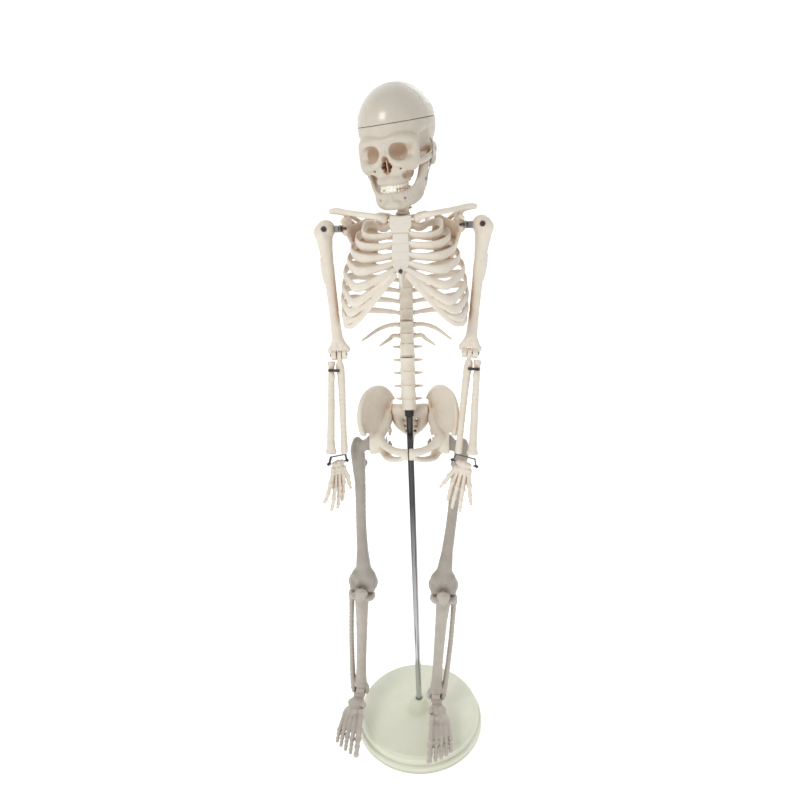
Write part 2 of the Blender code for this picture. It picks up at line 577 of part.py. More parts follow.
def build_leg(side, sign, torso):
    turned = (lambda meshes: meshes) if sign > 0 else mirrored
    swing, spread = POSE[side]["hip"]
    hip = pivot(f"hip_swing_{side}", torso, (sign * HIP.x, HIP.y, HIP.z), (swing, 0, 0))
    ring = [cylinder((-15.9, 0, 0), 7.2, 1.3, "X", sides=24), cylinder((-15.9, 0, 0), 4.7, 8, "X", sides=20)]
    washer = node(f"hip_washer_{side}", turned(ring[:1])[0], "zinc", hip)
    cut(washer, turned(ring[1:]), hip)

    thigh = pivot(f"hip_spread_{side}", hip, (0, 0, 0), (0, sign * spread, 0))
    knee = (KNEE_INSET, 0, -THIGH)
    masses = [
        ball((0, 0, 0), HEAD_BALL, detail=20),
        rod([(7, 0.5, -2.5, 7), (14, 1, -6, 6.8), (20, 2, -10, 8)]),
        ball((21, 3, -6), (6.5, 8, 9)),
        ball((20.5, 2, -14), (7.4, 8, 10)),
        ball((9.5, 6, -31), (4.2, 4, 5)),
        rod([(18.5, 1, -16, 8.6), (15.5, 0, -34, 7.6), (11, -1, -60, 6.3), (5, -2.5, -110, 6), (-0.5, -1.5, -150, 6.8)]),
        rod([(-0.5, -1.5, -150, 6.8), (-3.5, -0.5, -172, 9), (-5.5, 0, -186, 11)]),
        ball((knee[0] - 10, 1, -THIGH + 1.5), (9.2, KNEE_BALL, KNEE_BALL)),
        ball((knee[0] + 10, 1, -THIGH + 1.5), (9.2, KNEE_BALL, KNEE_BALL)),
        cylinder((knee[0], 0, -THIGH), KNEE_BALL, 33, "X", sides=28),
    ]
    slots = [
        box((knee[0], 9.5, -THIGH - 3.5), (6.6, 23, 24)),
        box((knee[0], -6, -THIGH - 8), (6.6, 26, 15)),
        cylinder((knee[0], 0, -THIGH), 8.4, 6.6, "X", sides=28),
        cylinder((knee[0], 0, -THIGH), 1.5 + GAP, 70, "X"),
        cylinder((-9, 0, 0), BOLT + GAP, 30, "X"),
    ]
    bone(f"femur_{side}", turned(masses), thigh, 420, 1.1, turned(slots), look="bone_leg")
    bolt = [cylinder((-9.5, 0, 0), BOLT, 27, "X"), cylinder((-19.4, 0, 0), 5.4, 2.8, "X", sides=6)]
    pin(f"hip_bolt_{side}", thigh, turned(bolt))

    shank = pivot(f"knee_{side}", thigh, (sign * knee[0], 0, -THIGH))
    masses = [
        ball((-8.5, 1, -18.5), (9.6, 10.5, 7.5)),
        ball((8.5, 1, -18.5), (9.6, 10.5, 7.5)),
        rod([(0, 1, -20, 10), (-0.5, -1, -34, 7.6), (-1, -1.5, -60, 6.2), (-1, 0, -110, 5.2), (-0.5, 2.5, -148, 5.6)]),
        rod([(-0.5, 2.5, -148, 5.6), (0, 4, -164, 7.8)]),
        ball((0, -7.5, -33), (4, 3.6, 6)),
        ball((0, 4, -168), (10, 7.4, 6)),
        ball((-9, 4, -176), (3.3, 6, 7.5)),
        ball((13.5, 7, -27), (5, 5, 5.5)),
        rod([(14, 7.5, -28, 4), (14.5, 8, -40, 2.7), (14.5, 8, -90, 2.5), (12.5, 7, -148, 2.9), (10.6, 5.5, -170, 3.8), (9.8, 5, -181, 3.4)]),
    ]
    inwards = -SHIN_LEAN * (SHIN - 20)
    ankle = (inwards, 4, -SHIN)
    for mesh in masses:
        lean_in(mesh)
    masses += [cylinder((0, 0, 0), 7.6, 5.6, "X", sides=24), box((0, 0.5, -11.5), (5.6, 9.5, 14))]
    cuts = [
        cylinder((17.9, 0, 0), KNEE_BALL + 1.9, 30, "X", sides=32),
        cylinder((-17.9, 0, 0), KNEE_BALL + 1.9, 30, "X", sides=32),
        cylinder((0, 0, 0), 1.5 + GAP, 40, "X", sides=14),
        box((inwards + 0.2, 4, -SHIN - 4.4), (12.2, 40, 12)),
        cylinder((inwards + 0.2, 4, -SHIN), ANKLE_ROLL + 0.9, 12.2, "X", sides=24),
        cylinder((inwards, 4, -SHIN), 1.2 + GAP, 60, "X"),
    ]
    bone(f"tibia_{side}", turned(masses), shank, 440, 1.0, turned(cuts), look="bone_leg")
    cap = [ball((0, -17.8, -7.2), (8.2, 3.9, 8.6)), ball((0, -16.8, -12.5), (4.6, 3.4, 6.6))]
    back = [cylinder((0, 0, 0), KNEE_BALL + 2.4, 60, "X", sides=40), box((0, -6.5, -24.5), (40, 15.6, 20))]
    bone(f"patella_{side}", turned(cap), shank, 120, 0.8, turned(back), soften=2, look="bone_leg")
    pin(f"knee_pin_{side}", shank, turned([cylinder((0, 0, 0), 1.5, 30, "X")]))

    foot = pivot(f"ankle_{side}", shank, (sign * inwards, ankle[1], ankle[2]))
    masses = [
        cylinder((0.2, 0, 0), ANKLE_ROLL, 11.2, "X", sides=24),
        ball((1, 2, -11), (6.5, 10, 7.5)),
        rod([(1, 6, -13, 7.4), (1, 17, -20, 7.8), (1, 22, -25, 7.4)]),
        ball((2, -12, -15.5), (8.5, 11, 7)),
        ball((5, -24, -19), (11, 9, 6.4)),
        rod([(-2, -26, -19, 4), (-6, -60, -27.5, 4.4), (-6.5, -72, -28.5, 3.4), (-7, -84, -28.5, 3.6)]),
    ]
    toes = [(2, 1.5, 1, -61, -80), (5.5, 7.5, 7.5, -58, -76), (9, 13, 13.5, -54, -71), (12, 18.5, 19, -49, -65)]
    for base, head, tip, ball_y, tip_y in toes:
        path = [(base, -27, -18, 3.1), (head, ball_y, -28.3, 3.3), ((head + tip) / 2, (ball_y + tip_y) / 2, -29, 2.4)]
        masses.append(rod(path + [(tip, tip_y, -29.2, 2.5)]))
    hole = [cylinder((0, 0, 0), 1.2 + GAP, 40, "X"), box((0, -20, -44.3), (80, 160, 20))]
    bone(f"foot_{side}", turned(masses), foot, 400, 0.9, turned(hole), soften=2, look="bone_leg")


# ---------------------------------------------------------------- the head
def build_head(torso):
    turn = pivot("neck_turn", torso, NECK, (0, 0, HEAD_TURN))
    pin("neck_pin", turn, [cylinder((0, 0, -12), NECK_PIN, 24), ball((0, 0, 0), 4.0, detail=12)])
    skull = pivot("neck_nod", turn, (0, 0, 0), (*HEAD_TILT, 0))
    seam = 33.0
    cheek = [
        ball((25, -34, -3), (8, 8, 7)),
        rod([(27, -36, -3, 4), (36.5, -20, -2, 2.4), (37, -4, -1, 2.6), (36, 2, 2, 3)]),
        rod([(0, -49, 18, 4), (14, -47.5, 20, 4), (25, -41, 14, 3.8), (28, -36, 2, 3.6)]),
        ball((33, 8, -5), (4.5, 7, 9)),
    ]
    masses = [
        ball((0, -1, 30), (42, 50.5, 41), detail=28),
        ball((0, -40, -12), (19, 12.5, 15)),
        ball((0, -30, -2), (24, 18, 18)),
        rod([(0, -49, 15, 3.6), (0, -54, 4, 2.8)]),
        ball((0, 2, -4), (14, 12, 8)),
        rod([(-17, -34, -25, 3.6), (-14, -46, -25, 3.4), (0, -52, -25, 3.2), (14, -46, -25, 3.4), (17, -34, -25, 3.6)]),
    ]
    cavity = ball((0, -1, 34), (38.6, 46.8, 30), detail=16)
    below = [
        box((0, 0, seam + 30), (120, 130, 60)),
        cavity,
        ball((0, -53, -4), (5.2, 9, 8), detail=12),
        ball((0, 0, 0), 4.0 + GAP, detail=14),
        cylinder((0, 0, -9), 9, 12, "Z", top=3.2),
        cylinder((0, 0, -17.5), 17, 22),
    ]
    orbit = [ball((14.2, -51, 7), (9, 11, 8), detail=14), ball((31, -16, 6), (5, 12, 14), (0, 0, -12), 10), box((29.8, -14, -8), (11.4, 24, 12))]
    cuts = below[:3] + orbit + mirrored(orbit) + below[3:]
    bone("skull_base", masses + cheek + mirrored(cheek), skull, 950, 1.2, cuts, soften=2)
    dome = bone("skull_cap", [ball((0, -1, 30), (42, 50.5, 41), detail=32)], skull, 520, 1.6, [], soften=1)
    cut(dome, [box((0, 0, seam + GAP - 45), (120, 130, 90)), ball((0, -1, 30.5), (38.6, 46.8, 37.4), detail=16)], skull)

    jaw = pivot("jaw_open", skull, JAW)
    half = [
        ball((31.5, 0, 0), (3.4, 2.6, 2.8)),
        rod([(31.5, 0, -2, 2.6), (31, -4, -16, 4), (30, -6, -25, 4.2), (22, -27, -31, 4.6), (10, -38, -34, 4.8), (0, -41, -35, 5)]),
        rod([(30.5, -7, -22, 4), (30.5, -9, -12, 3), (30.5, -11, -3, 1.8)]),
        rod([(20, -27, -26, 2.5), (13.5, -37.5, -26.2, 2.4), (0, -42.5, -26.4, 2.4)]),
        rod([(21, -27, -29, 3), (12, -38, -30, 3), (0, -41, -30, 3)]),
    ]
    bone("mandible", half + mirrored(half) + [ball((0, -42, -36), (8, 5, 4.8))], jaw, 430, 1.0, soften=1)
    path = [(40.3, -14, 12, 0.9), (40.9, -15, -2, 0.9), (39.5, -16, -16, 0.9), (36.4, -17, -26, 0.9)]

    def build(side, sign, turned):
        node(f"jaw_spring_{side}", turned([rod(path)])[0], "steel", skull)

    both_sides(build)


def main():
    build_stand()
    torso = pivot("torso_swivel", None, (0, 0, 0), (0, 0, -1.5))
    build_spine(torso)
    build_sacrum(torso)
    build_hip_bones(torso)
    build_rib_cages(torso)
    build_sternum(torso)
    build_shoulder_girdles(torso)
    build_head(torso)
    for side, sign in (("left", 1), ("right", -1)):
        build_arm(side, sign, torso)
        build_leg(side, sign, torso)


clear_scene()
PARTS = collection("human_skeleton_model")
CUTTERS = collection("cutters", hidden=True)
main()
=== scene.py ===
"""Looks of the half-size skeleton model on its stand. Figures are millimetres unless they say otherwise."""

import json
import math

import bpy
import numpy as np
import openvdb
from mathutils import Euler, Matrix, Vector


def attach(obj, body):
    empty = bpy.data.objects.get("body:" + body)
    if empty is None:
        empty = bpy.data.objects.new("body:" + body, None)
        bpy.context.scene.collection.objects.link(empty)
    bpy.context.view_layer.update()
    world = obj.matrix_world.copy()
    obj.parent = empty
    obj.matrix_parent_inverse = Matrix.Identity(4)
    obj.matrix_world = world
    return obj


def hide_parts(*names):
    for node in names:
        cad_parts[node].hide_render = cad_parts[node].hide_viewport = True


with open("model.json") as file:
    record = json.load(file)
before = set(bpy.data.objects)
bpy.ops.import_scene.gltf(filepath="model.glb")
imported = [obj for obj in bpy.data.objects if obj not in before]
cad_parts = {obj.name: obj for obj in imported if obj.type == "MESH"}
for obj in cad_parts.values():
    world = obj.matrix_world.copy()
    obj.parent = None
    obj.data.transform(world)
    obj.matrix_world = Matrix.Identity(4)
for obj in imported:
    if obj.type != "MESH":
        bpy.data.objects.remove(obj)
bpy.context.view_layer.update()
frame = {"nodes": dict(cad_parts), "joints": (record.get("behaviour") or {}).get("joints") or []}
JOINTS = {joint["name"]: joint for joint in frame["joints"]}
MM = 0.001
COARSE = 1.0
FAR = np.float32(60.0)


# ---------------------------------------------------------------- clay: shapes as signed distances
def turned(angles):
    """The rotation matrix of three angles in degrees."""
    return np.array(Euler([math.radians(a) for a in angles]).to_matrix(), np.float32)


def local(spin, centre, x, y, z):
    """How far a point lies from a centre along each of three turned directions."""
    x, y, z = x - centre[0], y - centre[1], z - centre[2]
    return [spin[0, i] * x + spin[1, i] * y + spin[2, i] * z for i in range(3)]


def blob(centre, radii, turn=(0, 0, 0)):
    """An ellipsoid."""
    centre = np.array(centre, np.float32)
    radii = np.array(radii if hasattr(radii, "__len__") else (radii,) * 3, np.float32)
    spin = turned(turn)
    reach = np.sqrt(((spin * radii) ** 2).sum(1))

    def distance(x, y, z):
        a, b, c = (far / radius for far, radius in zip(local(spin, centre, x, y, z), radii))
        near = np.sqrt(a * a + b * b + c * c) + 1e-6
        steep = np.sqrt((a / radii[0]) ** 2 + (b / radii[1]) ** 2 + (c / radii[2]) ** 2) + 1e-6
        return near * (near - 1) / steep

    return centre - reach, centre + reach, distance


def brick(centre, size, rounding=0.5, turn=(0, 0, 0)):
    """A box with rounded edges."""
    centre = np.array(centre, np.float32)
    half = np.array(size, np.float32) / 2 - rounding
    spin = turned(turn)
    reach = np.abs(spin * (half + rounding)).sum(1)

    def distance(x, y, z):
        a, b, c = (np.abs(far) - side for far, side in zip(local(spin, centre, x, y, z), half))
        out = np.sqrt(np.maximum(a, 0) ** 2 + np.maximum(b, 0) ** 2 + np.maximum(c, 0) ** 2)
        return out + np.minimum(np.maximum(a, np.maximum(b, c)), 0) - rounding

    return centre - reach, centre + reach, distance


def drum(centre, radius, half, axis=2, rounding=0.3, waist=0.0, squash=1.0, ridges=0, tilt=(0, 0, 0)):
    """A short cylinder along an axis, which may be waisted, oval or ridged."""
    centre = np.array(centre, np.float32)
    spin = turned(tilt)
    wide = max(radius, half) * 1.2 + 1

    def distance(x, y, z):
        places = local(spin, centre, x, y, z)
        along = places.pop(axis)
        u, v = places
        v = v / squash
        out = np.sqrt(u * u + v * v)
        limit = radius
        if waist:
            limit = radius - waist * np.clip(1 - (along / half) ** 2, 0, 1)
        if ridges:
            fade = np.clip(1.25 - np.abs(along / half) * 1.4, 0, 1)
            limit = limit + 0.16 * fade * np.cos(ridges * np.arctan2(u, v))
        a = out - limit + rounding
        b = np.abs(along) - half + rounding
        outside = np.sqrt(np.maximum(a, 0) ** 2 + np.maximum(b, 0) ** 2)
        return outside + np.minimum(np.maximum(a, b), 0) - rounding

    return centre - wide, centre + wide, distance


def stick(start, end, first, last, flat=None):
    """A tapered round rod. flat is (direction, times): how much thinner the rod is in that direction."""
    start, end = np.array(start, np.float32), np.array(end, np.float32)
    along = end - start
    length2 = float(along @ along) + 1e-9
    widest = max(first, last)

    def distance(x, y, z):
        x, y, z = x - start[0], y - start[1], z - start[2]
        t = np.clip((x * along[0] + y * along[1] + z * along[2]) / length2, 0, 1)
        x, y, z = x - t * along[0], y - t * along[1], z - t * along[2]
        square = x * x + y * y + z * z
        if flat is not None:
            n, times = flat
            square = square + (times * times - 1) * (x * n[0] + y * n[1] + z * n[2]) ** 2
        return np.sqrt(square) - (first + (last - first) * t)

    return np.minimum(start, end) - widest, np.maximum(start, end) + widest, distance


def smooth_line(points, step):
    """Points (any number of values each) along a Catmull-Rom curve, about step apart."""
    points = np.array(points, float)
    padded = np.vstack([2 * points[0] - points[1], points, 2 * points[-1] - points[-2]])
    made = []
    for i in range(len(points) - 1):
        a, b, c, d = padded[i : i + 4]
        count = max(1, int(round(np.linalg.norm((c - b)[:3]) / step)))
        for t in np.arange(count) / count:
            bend = (2 * a - 5 * b + 4 * c - d) * t * t + (3 * b - a - 3 * c + d) * t**3
            made.append(0.5 * (2 * b + (c - a) * t + bend))
    made.append(points[-1])
    return np.array(made)


def path(points, step=4.0, flat=None):
    """Rods along a curve through (x, y, z, radius) points. flat(point) may give each rod's flattening."""
    line = smooth_line(points, step)
    sticks = []
    for a, b in zip(line, line[1:]):
        sticks.append(stick(a[:3], b[:3], a[3], b[3], flat((a + b)[:3] / 2) if flat else None))
    return sticks


def triangle(a, b, c, thick):
    """A thin triangle with rounded edges."""
    a, b, c = (np.array(p, np.float32) for p in (a, b, c))
    normal = np.cross(b - a, c - a)
    normal = normal / (np.linalg.norm(normal) + 1e-9)
    edges = []
    for p, q in ((a, b), (b, c), (c, a)):
        inward = np.cross(normal, q - p)
        edges.append((p, q - p, inward / (np.linalg.norm(inward) + 1e-9)))

    def distance(x, y, z):
        height = np.abs((x - a[0]) * normal[0] + (y - a[1]) * normal[1] + (z - a[2]) * normal[2])
        inside = FAR
        edge = FAR * FAR
        for p, way, inward in edges:
            u, v, w = x - p[0], y - p[1], z - p[2]
            inside = np.minimum(inside, u * inward[0] + v * inward[1] + w * inward[2])
            t = np.clip((u * way[0] + v * way[1] + w * way[2]) / (way @ way + 1e-9), 0, 1)
            u, v, w = u - t * way[0], v - t * way[1], w - t * way[2]
            edge = np.minimum(edge, u * u + v * v + w * w)
        return np.where(inside > 0, height, np.sqrt(edge)) - thick

    corners = np.array([a, b, c])
    return corners.min(0) - thick, corners.max(0) + thick, distance


def sheet(rows, across=3, along=2):
    """A thin curved plate through rows of (x, y, z, half thickness) points."""
    fine = []
    for row in rows:
        gap = np.linalg.norm(np.diff(np.array(row)[:, :3], axis=0), axis=1).mean()
        fine.append(smooth_line(row, gap / along))
    count = min(len(row) for row in fine)
    fine = np.array([row[np.linspace(0, len(row) - 1, count).round().astype(int)] for row in fine])
    columns = []
    for i in range(count):
        line = fine[:, i]
        gap = np.linalg.norm(np.diff(line[:, :3], axis=0), axis=1).mean()
        made = smooth_line(line, gap / across)
        columns.append(made)
    depth = min(len(column) for column in columns)
    grid = np.array([
        column[np.linspace(0, len(column) - 1, depth).round().astype(int)] for column in columns
    ])
    shapes = []
    for i in range(len(grid) - 1):
        for j in range(depth - 1):
            p, q, r, s = grid[i, j], grid[i + 1, j], grid[i + 1, j + 1], grid[i, j + 1]
            thick = float(p[3] + q[3] + r[3] + s[3]) / 4
            shapes.append(triangle(p[:3], q[:3], r[:3], thick))
            shapes.append(triangle(p[:3], r[:3], s[:3], thick))
    return shapes


def leant(shapes, slope=0.084, start=-20.0):
    """The same shapes on a shin whose lower part runs inwards."""
    made = []
    for low, high, distance in [shapes] if isinstance(shapes, tuple) else shapes:
        drift = slope * min(0.0, low[2] - start)
        low = np.array(low) + np.array((drift, 0, 0))

        def moved(x, y, z, distance=distance):
            return distance(x - slope * np.minimum(0.0, z - start), y, z)

        made.append((low, np.array(high), moved))
    return made


def dip(distance, width):
    """How deep a soft groove is at a distance from its middle, as a share of its full depth."""
    return np.exp(-((distance / width) ** 2))


def between(a, b, share):
    """The point part of the way from one point to another."""
    return [p + (q - p) * share for p, q in zip(a, b)]


def arch(half, middle):
    """A line from the right over a middle point to the left. half holds the left side's points."""
    return [(-x, *rest) for x, *rest in half] + [middle] + half[::-1]


class Clay:
    """A block of signed distances that shapes are blended into and cut from, then meshed."""

    def __init__(self, low, high, voxel):
        self.voxel = voxel * COARSE
        self.low = np.array(low, float) - 2 * self.voxel
        count = np.ceil((np.array(high) - self.low) / self.voxel).astype(int) + 3
        self.axes = [(self.low[i] + self.voxel * np.arange(count[i])).astype(np.float32) for i in range(3)]
        self.field = np.full(count, FAR, np.float32)

    def window(self, low, high, margin):
        cut = []
        for i in range(3):
            start = int(np.floor((low[i] - margin - self.low[i]) / self.voxel))
            stop = int(np.ceil((high[i] + margin - self.low[i]) / self.voxel)) + 1
            cut.append(slice(max(start, 0), max(min(stop, self.field.shape[i]), 0)))
        x, y, z = (self.axes[i][cut[i]] for i in range(3))
        return tuple(cut), (x[:, None, None], y[None, :, None], z[None, None, :])

    def add(self, shapes, k=1.5):
        for low, high, distance in [shapes] if isinstance(shapes, tuple) else shapes:
            cut, points = self.window(low, high, k + 2 * self.voxel)
            old = self.field[cut]
            if old.size:
                new = distance(*points)
                share = np.clip(0.5 + 0.5 * (old - new) / k, 0, 1)
                self.field[cut] = old + (new - old) * share - k * share * (1 - share)
        return self

    def cut(self, shapes, k=0.4):
        for low, high, distance in [shapes] if isinstance(shapes, tuple) else shapes:
            cut, points = self.window(low, high, k + 2 * self.voxel)
            old = self.field[cut]
            if old.size:
                new = -distance(*points)
                share = np.clip(0.5 - 0.5 * (old - new) / k, 0, 1)
                self.field[cut] = old + (new - old) * share + k * share * (1 - share)
        return self

    def carve(self, low, high, depth):
        """Lowers the surface by depth(x, y, z) inside a window."""
        cut, points = self.window(low, high, 0)
        if self.field[cut].size:
            self.field[cut] = self.field[cut] + depth(*points)
        return self

    def mesh(self, name, adaptivity=0.0):
        grid = openvdb.FloatGrid(float(FAR))
        grid.copyFromArray(self.field)
        points, triangles, quads = grid.convertToPolygons(0.0, adaptivity)
        points = (points * self.voxel + self.low) * MM
        mesh = bpy.data.meshes.new(name)
        faces = [tuple(face) for face in quads[:, ::-1]] + [tuple(face) for face in triangles[:, ::-1]]
        mesh.from_pydata(points.tolist(), [], faces)
        mesh.update()
        mesh.polygons.foreach_set("use_smooth", [True] * len(mesh.polygons))
        return mesh


def mirrored(mesh):
    """A copy of a mesh on the other side of X = 0."""
    copy = mesh.copy()
    copy.transform(Matrix.Scale(-1, 4, (1, 0, 0)))
    copy.flip_normals()
    return copy


# ---------------------------------------------------------------- where each body's own frame stands
def unit(vector):
    return vector / np.linalg.norm(vector)


def joint(name):
    """A joint's place in metres, and its axis."""
    found = JOINTS[name]
    place = np.array(found.get("pos_m", (0, 0, 0)), float)
    return place, unit(np.array(found["axis"], float))


def placing(place, x, z):
    """The matrix of a frame at a place, in metres, with its Z exactly along z and its X near x."""
    z = unit(z)
    x = unit(x - z * (x @ z))
    y = np.cross(z, x)
    return Matrix([[x[i], y[i], z[i], place[i]] for i in range(3)] + [[0, 0, 0, 1]])


def body_frames():
    """Each body's own frame at rest, worked out from the pivots and axes of its joints."""
    down = np.array((0, 0, -1.0))
    left = -joint("hip_swing_left")[1]
    frames = {"stand": Matrix.Identity(4), "torso": placing((0, 0, 0), left, -down)}
    frames["skull"] = placing(joint("head_nod")[0], joint("jaw_open")[1], joint("cap_lift")[1])
    frames["cap"] = frames["skull"]
    frames["jaw"] = placing(joint("jaw_open")[0], joint("jaw_open")[1], joint("cap_lift")[1])
    for side, sign in (("left", 1), ("right", -1)):
        link, link_axis = joint(f"shoulder_swing_{side}")
        shoulder, lift_axis = joint(f"shoulder_lift_{side}")
        elbow, elbow_axis = joint(f"elbow_{side}")
        wrist, wrist_axis = joint(f"wrist_{side}")
        y = -sign * lift_axis
        frames[f"shoulder_link_{side}"] = placing(link, -link_axis, np.cross(-link_axis, y))
        frames[f"upper_arm_{side}"] = placing(shoulder, -elbow_axis, shoulder - elbow)
        frames[f"forearm_{side}"] = placing(elbow, -elbow_axis, elbow - wrist)
        back = unit(np.cross(elbow - wrist, -wrist_axis))
        frames[f"hand_{side}"] = placing(wrist, -wrist_axis, np.cross(-wrist_axis, back))
        hip = joint(f"hip_spread_{side}")[0]
        knee, knee_axis = joint(f"knee_{side}")
        ankle = joint(f"ankle_{side}")[0]
        rise = hip - knee
        rise = rise - knee_axis * (rise @ knee_axis)
        swing = joint(f"hip_swing_{side}")[0]
        frames[f"hip_link_{side}"] = placing(swing, left, -down)
        frames[f"thigh_{side}"] = placing(hip, knee_axis, rise)
        frames[f"shank_{side}"] = placing(knee, knee_axis, rise)
        frames[f"foot_{side}"] = placing(ankle, knee_axis, rise)
    return frames


FRAMES = body_frames()


def piece(name, mesh, body, look, nodes=(), at=None):
    """One visible piece that rides a body and stands for CAD nodes. at names another frame to place it in."""
    made = bpy.data.objects.new(name, mesh)
    bpy.context.scene.collection.objects.link(made)
    made.matrix_world = FRAMES[at or body]
    mesh.materials.clear()
    mesh.materials.append(LOOK[look])
    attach(made, body)
    if nodes:
        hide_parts(*nodes)
    return made


def pair(name, clay, body, look="bone", at=None, stands=True):
    """The left piece and its mirror image. With stands, they stand for the CAD nodes of that name."""
    left = clay.mesh(name.replace("_", " "))
    for side, mesh in (("left", left), ("right", mirrored(left))):
        whole = body if body in FRAMES else f"{body}_{side}"
        nodes = [f"{name}_{side}"] if stands else []
        piece(f"{name}_{side}_look", mesh, whole, look, nodes, at and f"{at}_{side}")


# ---------------------------------------------------------------- materials, all procedural
def shader(name, roughness, metallic=0.0, coat=0.0, subsurface=0.0):
    made = bpy.data.materials.new(name)
    made.use_nodes = True
    principled = made.node_tree.nodes["Principled BSDF"]
    principled.inputs["Roughness"].default_value = roughness
    principled.inputs["Metallic"].default_value = metallic
    principled.inputs["Coat Weight"].default_value = coat
    principled.inputs["Coat Roughness"].default_value = 0.25
    if subsurface:
        principled.inputs["Subsurface Weight"].default_value = subsurface
        principled.inputs["Subsurface Radius"].default_value = (1.0, 0.55, 0.3)
        principled.inputs["Subsurface Scale"].default_value = 0.003
    return made, made.node_tree, principled


def noise(tree, scale, detail=3.0):
    coordinates = tree.nodes.new("ShaderNodeTexCoord")
    texture = tree.nodes.new("ShaderNodeTexNoise")
    texture.inputs["Scale"].default_value = scale
    texture.inputs["Detail"].default_value = detail
    tree.links.new(coordinates.outputs["Object"], texture.inputs["Vector"])
    return texture.outputs["Fac"]


def ramp(tree, value, *stops):
    made = tree.nodes.new("ShaderNodeValToRGB")
    tree.links.new(value, made.inputs["Fac"])
    slots = made.color_ramp.elements
    while len(slots) < len(stops):
        slots.new(1.0)
    for slot, (place, colour) in zip(slots, stops):
        slot.position = place
        slot.color = (*colour, 1)
    return made.outputs["Color"]


def mixed(tree, socket, colour, share):
    """A socket's colour, giving way to a fixed colour as the share rises."""
    made = tree.nodes.new("ShaderNodeMix")
    made.data_type = "RGBA"
    made.inputs[7].default_value = (*colour, 1)
    tree.links.new(socket, made.inputs[6])
    tree.links.new(share, made.inputs["Factor"])
    return made.outputs[2]


def bump(tree, principled, height, strength, distance):
    made = tree.nodes.new("ShaderNodeBump")
    made.inputs["Strength"].default_value = strength
    made.inputs["Distance"].default_value = distance
    tree.links.new(height, made.inputs["Height"])
    tree.links.new(made.outputs["Normal"], principled.inputs["Normal"])


def bone_look(name, clean, stained, deep, roughness=0.4, grain=0.12, reach=0.009):
    """Moulded plastic bone: ivory, mottled a little, with painted shade: the deep colour is laid into
    recesses that ambient occlusion finds.
    """
    made, tree, principled = shader(name, roughness, coat=0.12, subsurface=0.08)
    base = ramp(tree, noise(tree, 55.0), (0.35, clean), (0.72, stained))
    # Painted shade: ambient occlusion blends the deep colour in, darker the more closed in a spot is.
    shade = tree.nodes.new("ShaderNodeAmbientOcclusion")
    shade.samples = 4
    shade.inputs["Distance"].default_value = reach
    painted_shade_share = ramp(tree, shade.outputs["AO"], (0.25, (1, 1, 1)), (0.80, (0, 0, 0)))
    colour = mixed(tree, base, deep, painted_shade_share)
    tree.links.new(colour, principled.inputs["Base Color"])
    bump(tree, principled, noise(tree, 420.0, 4.0), grain, 0.0006)
    return made


def metal_look(name, colour, roughness, scratch=0.0):
    made, tree, principled = shader(name, roughness, 1.0)
    principled.inputs["Base Color"].default_value = (*colour, 1)
    if scratch:
        value = ramp(tree, noise(tree, 300.0), (0.3, (roughness,) * 3), (0.8, (roughness + scratch,) * 3))
        tree.links.new(value, principled.inputs["Roughness"])
    return made


def pole_painted_shade_look():
    """Chrome with painted shade: its colour darkens with height and stands dark where it passes the pelvis.
    """
    made, tree, principled = shader("pole chrome", 0.13, 1.0)
    coordinates = tree.nodes.new("ShaderNodeTexCoord")
    parts = tree.nodes.new("ShaderNodeSeparateXYZ")
    tree.links.new(coordinates.outputs["Object"], parts.inputs["Vector"])
    # Painted shade: the chrome's colour runs from light grey low down to nearly black higher up the pole.
    colour = ramp(
        tree, parts.outputs["Z"], (0.10, (0.55, 0.56, 0.57)), (0.24, (0.34, 0.34, 0.35)),
        (0.36, (0.07, 0.07, 0.075))
    )
    tree.links.new(colour, principled.inputs["Base Color"])
    return made


def looks():
    # In each bone look the third colour is painted shade for recesses; the first two are the plastic's own
    # mottled tones.
    made = {
        "bone": bone_look(
            "ivory bone", (0.74, 0.685, 0.595), (0.70, 0.64, 0.545), (0.56, 0.36, 0.22), reach=0.02
        ),
        "skull": bone_look(
            "skull bone", (0.585, 0.535, 0.455), (0.545, 0.495, 0.415), (0.56, 0.34, 0.20), reach=0.013
        ),
        "cap": bone_look(
            "cap bone", (0.575, 0.535, 0.46), (0.545, 0.50, 0.43), (0.42, 0.35, 0.27), roughness=0.22,
            grain=0.03
        ),
        "teeth": bone_look(
            "tooth white", (0.88, 0.84, 0.74), (0.83, 0.77, 0.66), (0.50, 0.30, 0.15), grain=0.02,
            reach=0.003
        ),
        "thigh": bone_look(
            "thigh bone", (0.37, 0.34, 0.295), (0.32, 0.29, 0.25), (0.21, 0.17, 0.13), grain=0.35
        ),
        "leg": bone_look(
            "leg bone", (0.455, 0.415, 0.36), (0.40, 0.36, 0.31), (0.24, 0.19, 0.145), grain=0.35
        ),
        "foot": bone_look(
            "foot bone", (0.55, 0.50, 0.44), (0.485, 0.435, 0.38), (0.24, 0.18, 0.14), grain=0.35
        ),
        "plate": bone_look("breastbone", (0.74, 0.70, 0.62), (0.71, 0.67, 0.585), (0.50, 0.38, 0.26)),
        "disc": bone_look("spine disc", (0.72, 0.66, 0.57), (0.69, 0.62, 0.53), (0.55, 0.37, 0.24)),
        "stand": bone_look(
            "stand moulding", (0.76, 0.775, 0.635), (0.73, 0.75, 0.61), (0.30, 0.30, 0.23), 0.42, 0.05,
            reach=0.012
        ),
        "chrome": metal_look("chrome", (0.86, 0.87, 0.89), 0.10, 0.04),
        "pole": pole_painted_shade_look(),
        "steel": metal_look("dull steel", (0.33, 0.31, 0.29), 0.34, 0.12),
        "dark": metal_look("blackened screw", (0.09, 0.085, 0.08), 0.38, 0.1),
        "zinc": metal_look("zinc washer", (0.62, 0.68, 0.78), 0.28, 0.1),
        "rubber": shader("black plug", 0.65)[0],
    }
    plug = made["rubber"].node_tree.nodes["Principled BSDF"]
    plug.inputs["Base Color"].default_value = (0.02, 0.02, 0.02, 1)
    return made


LOOK = looks()


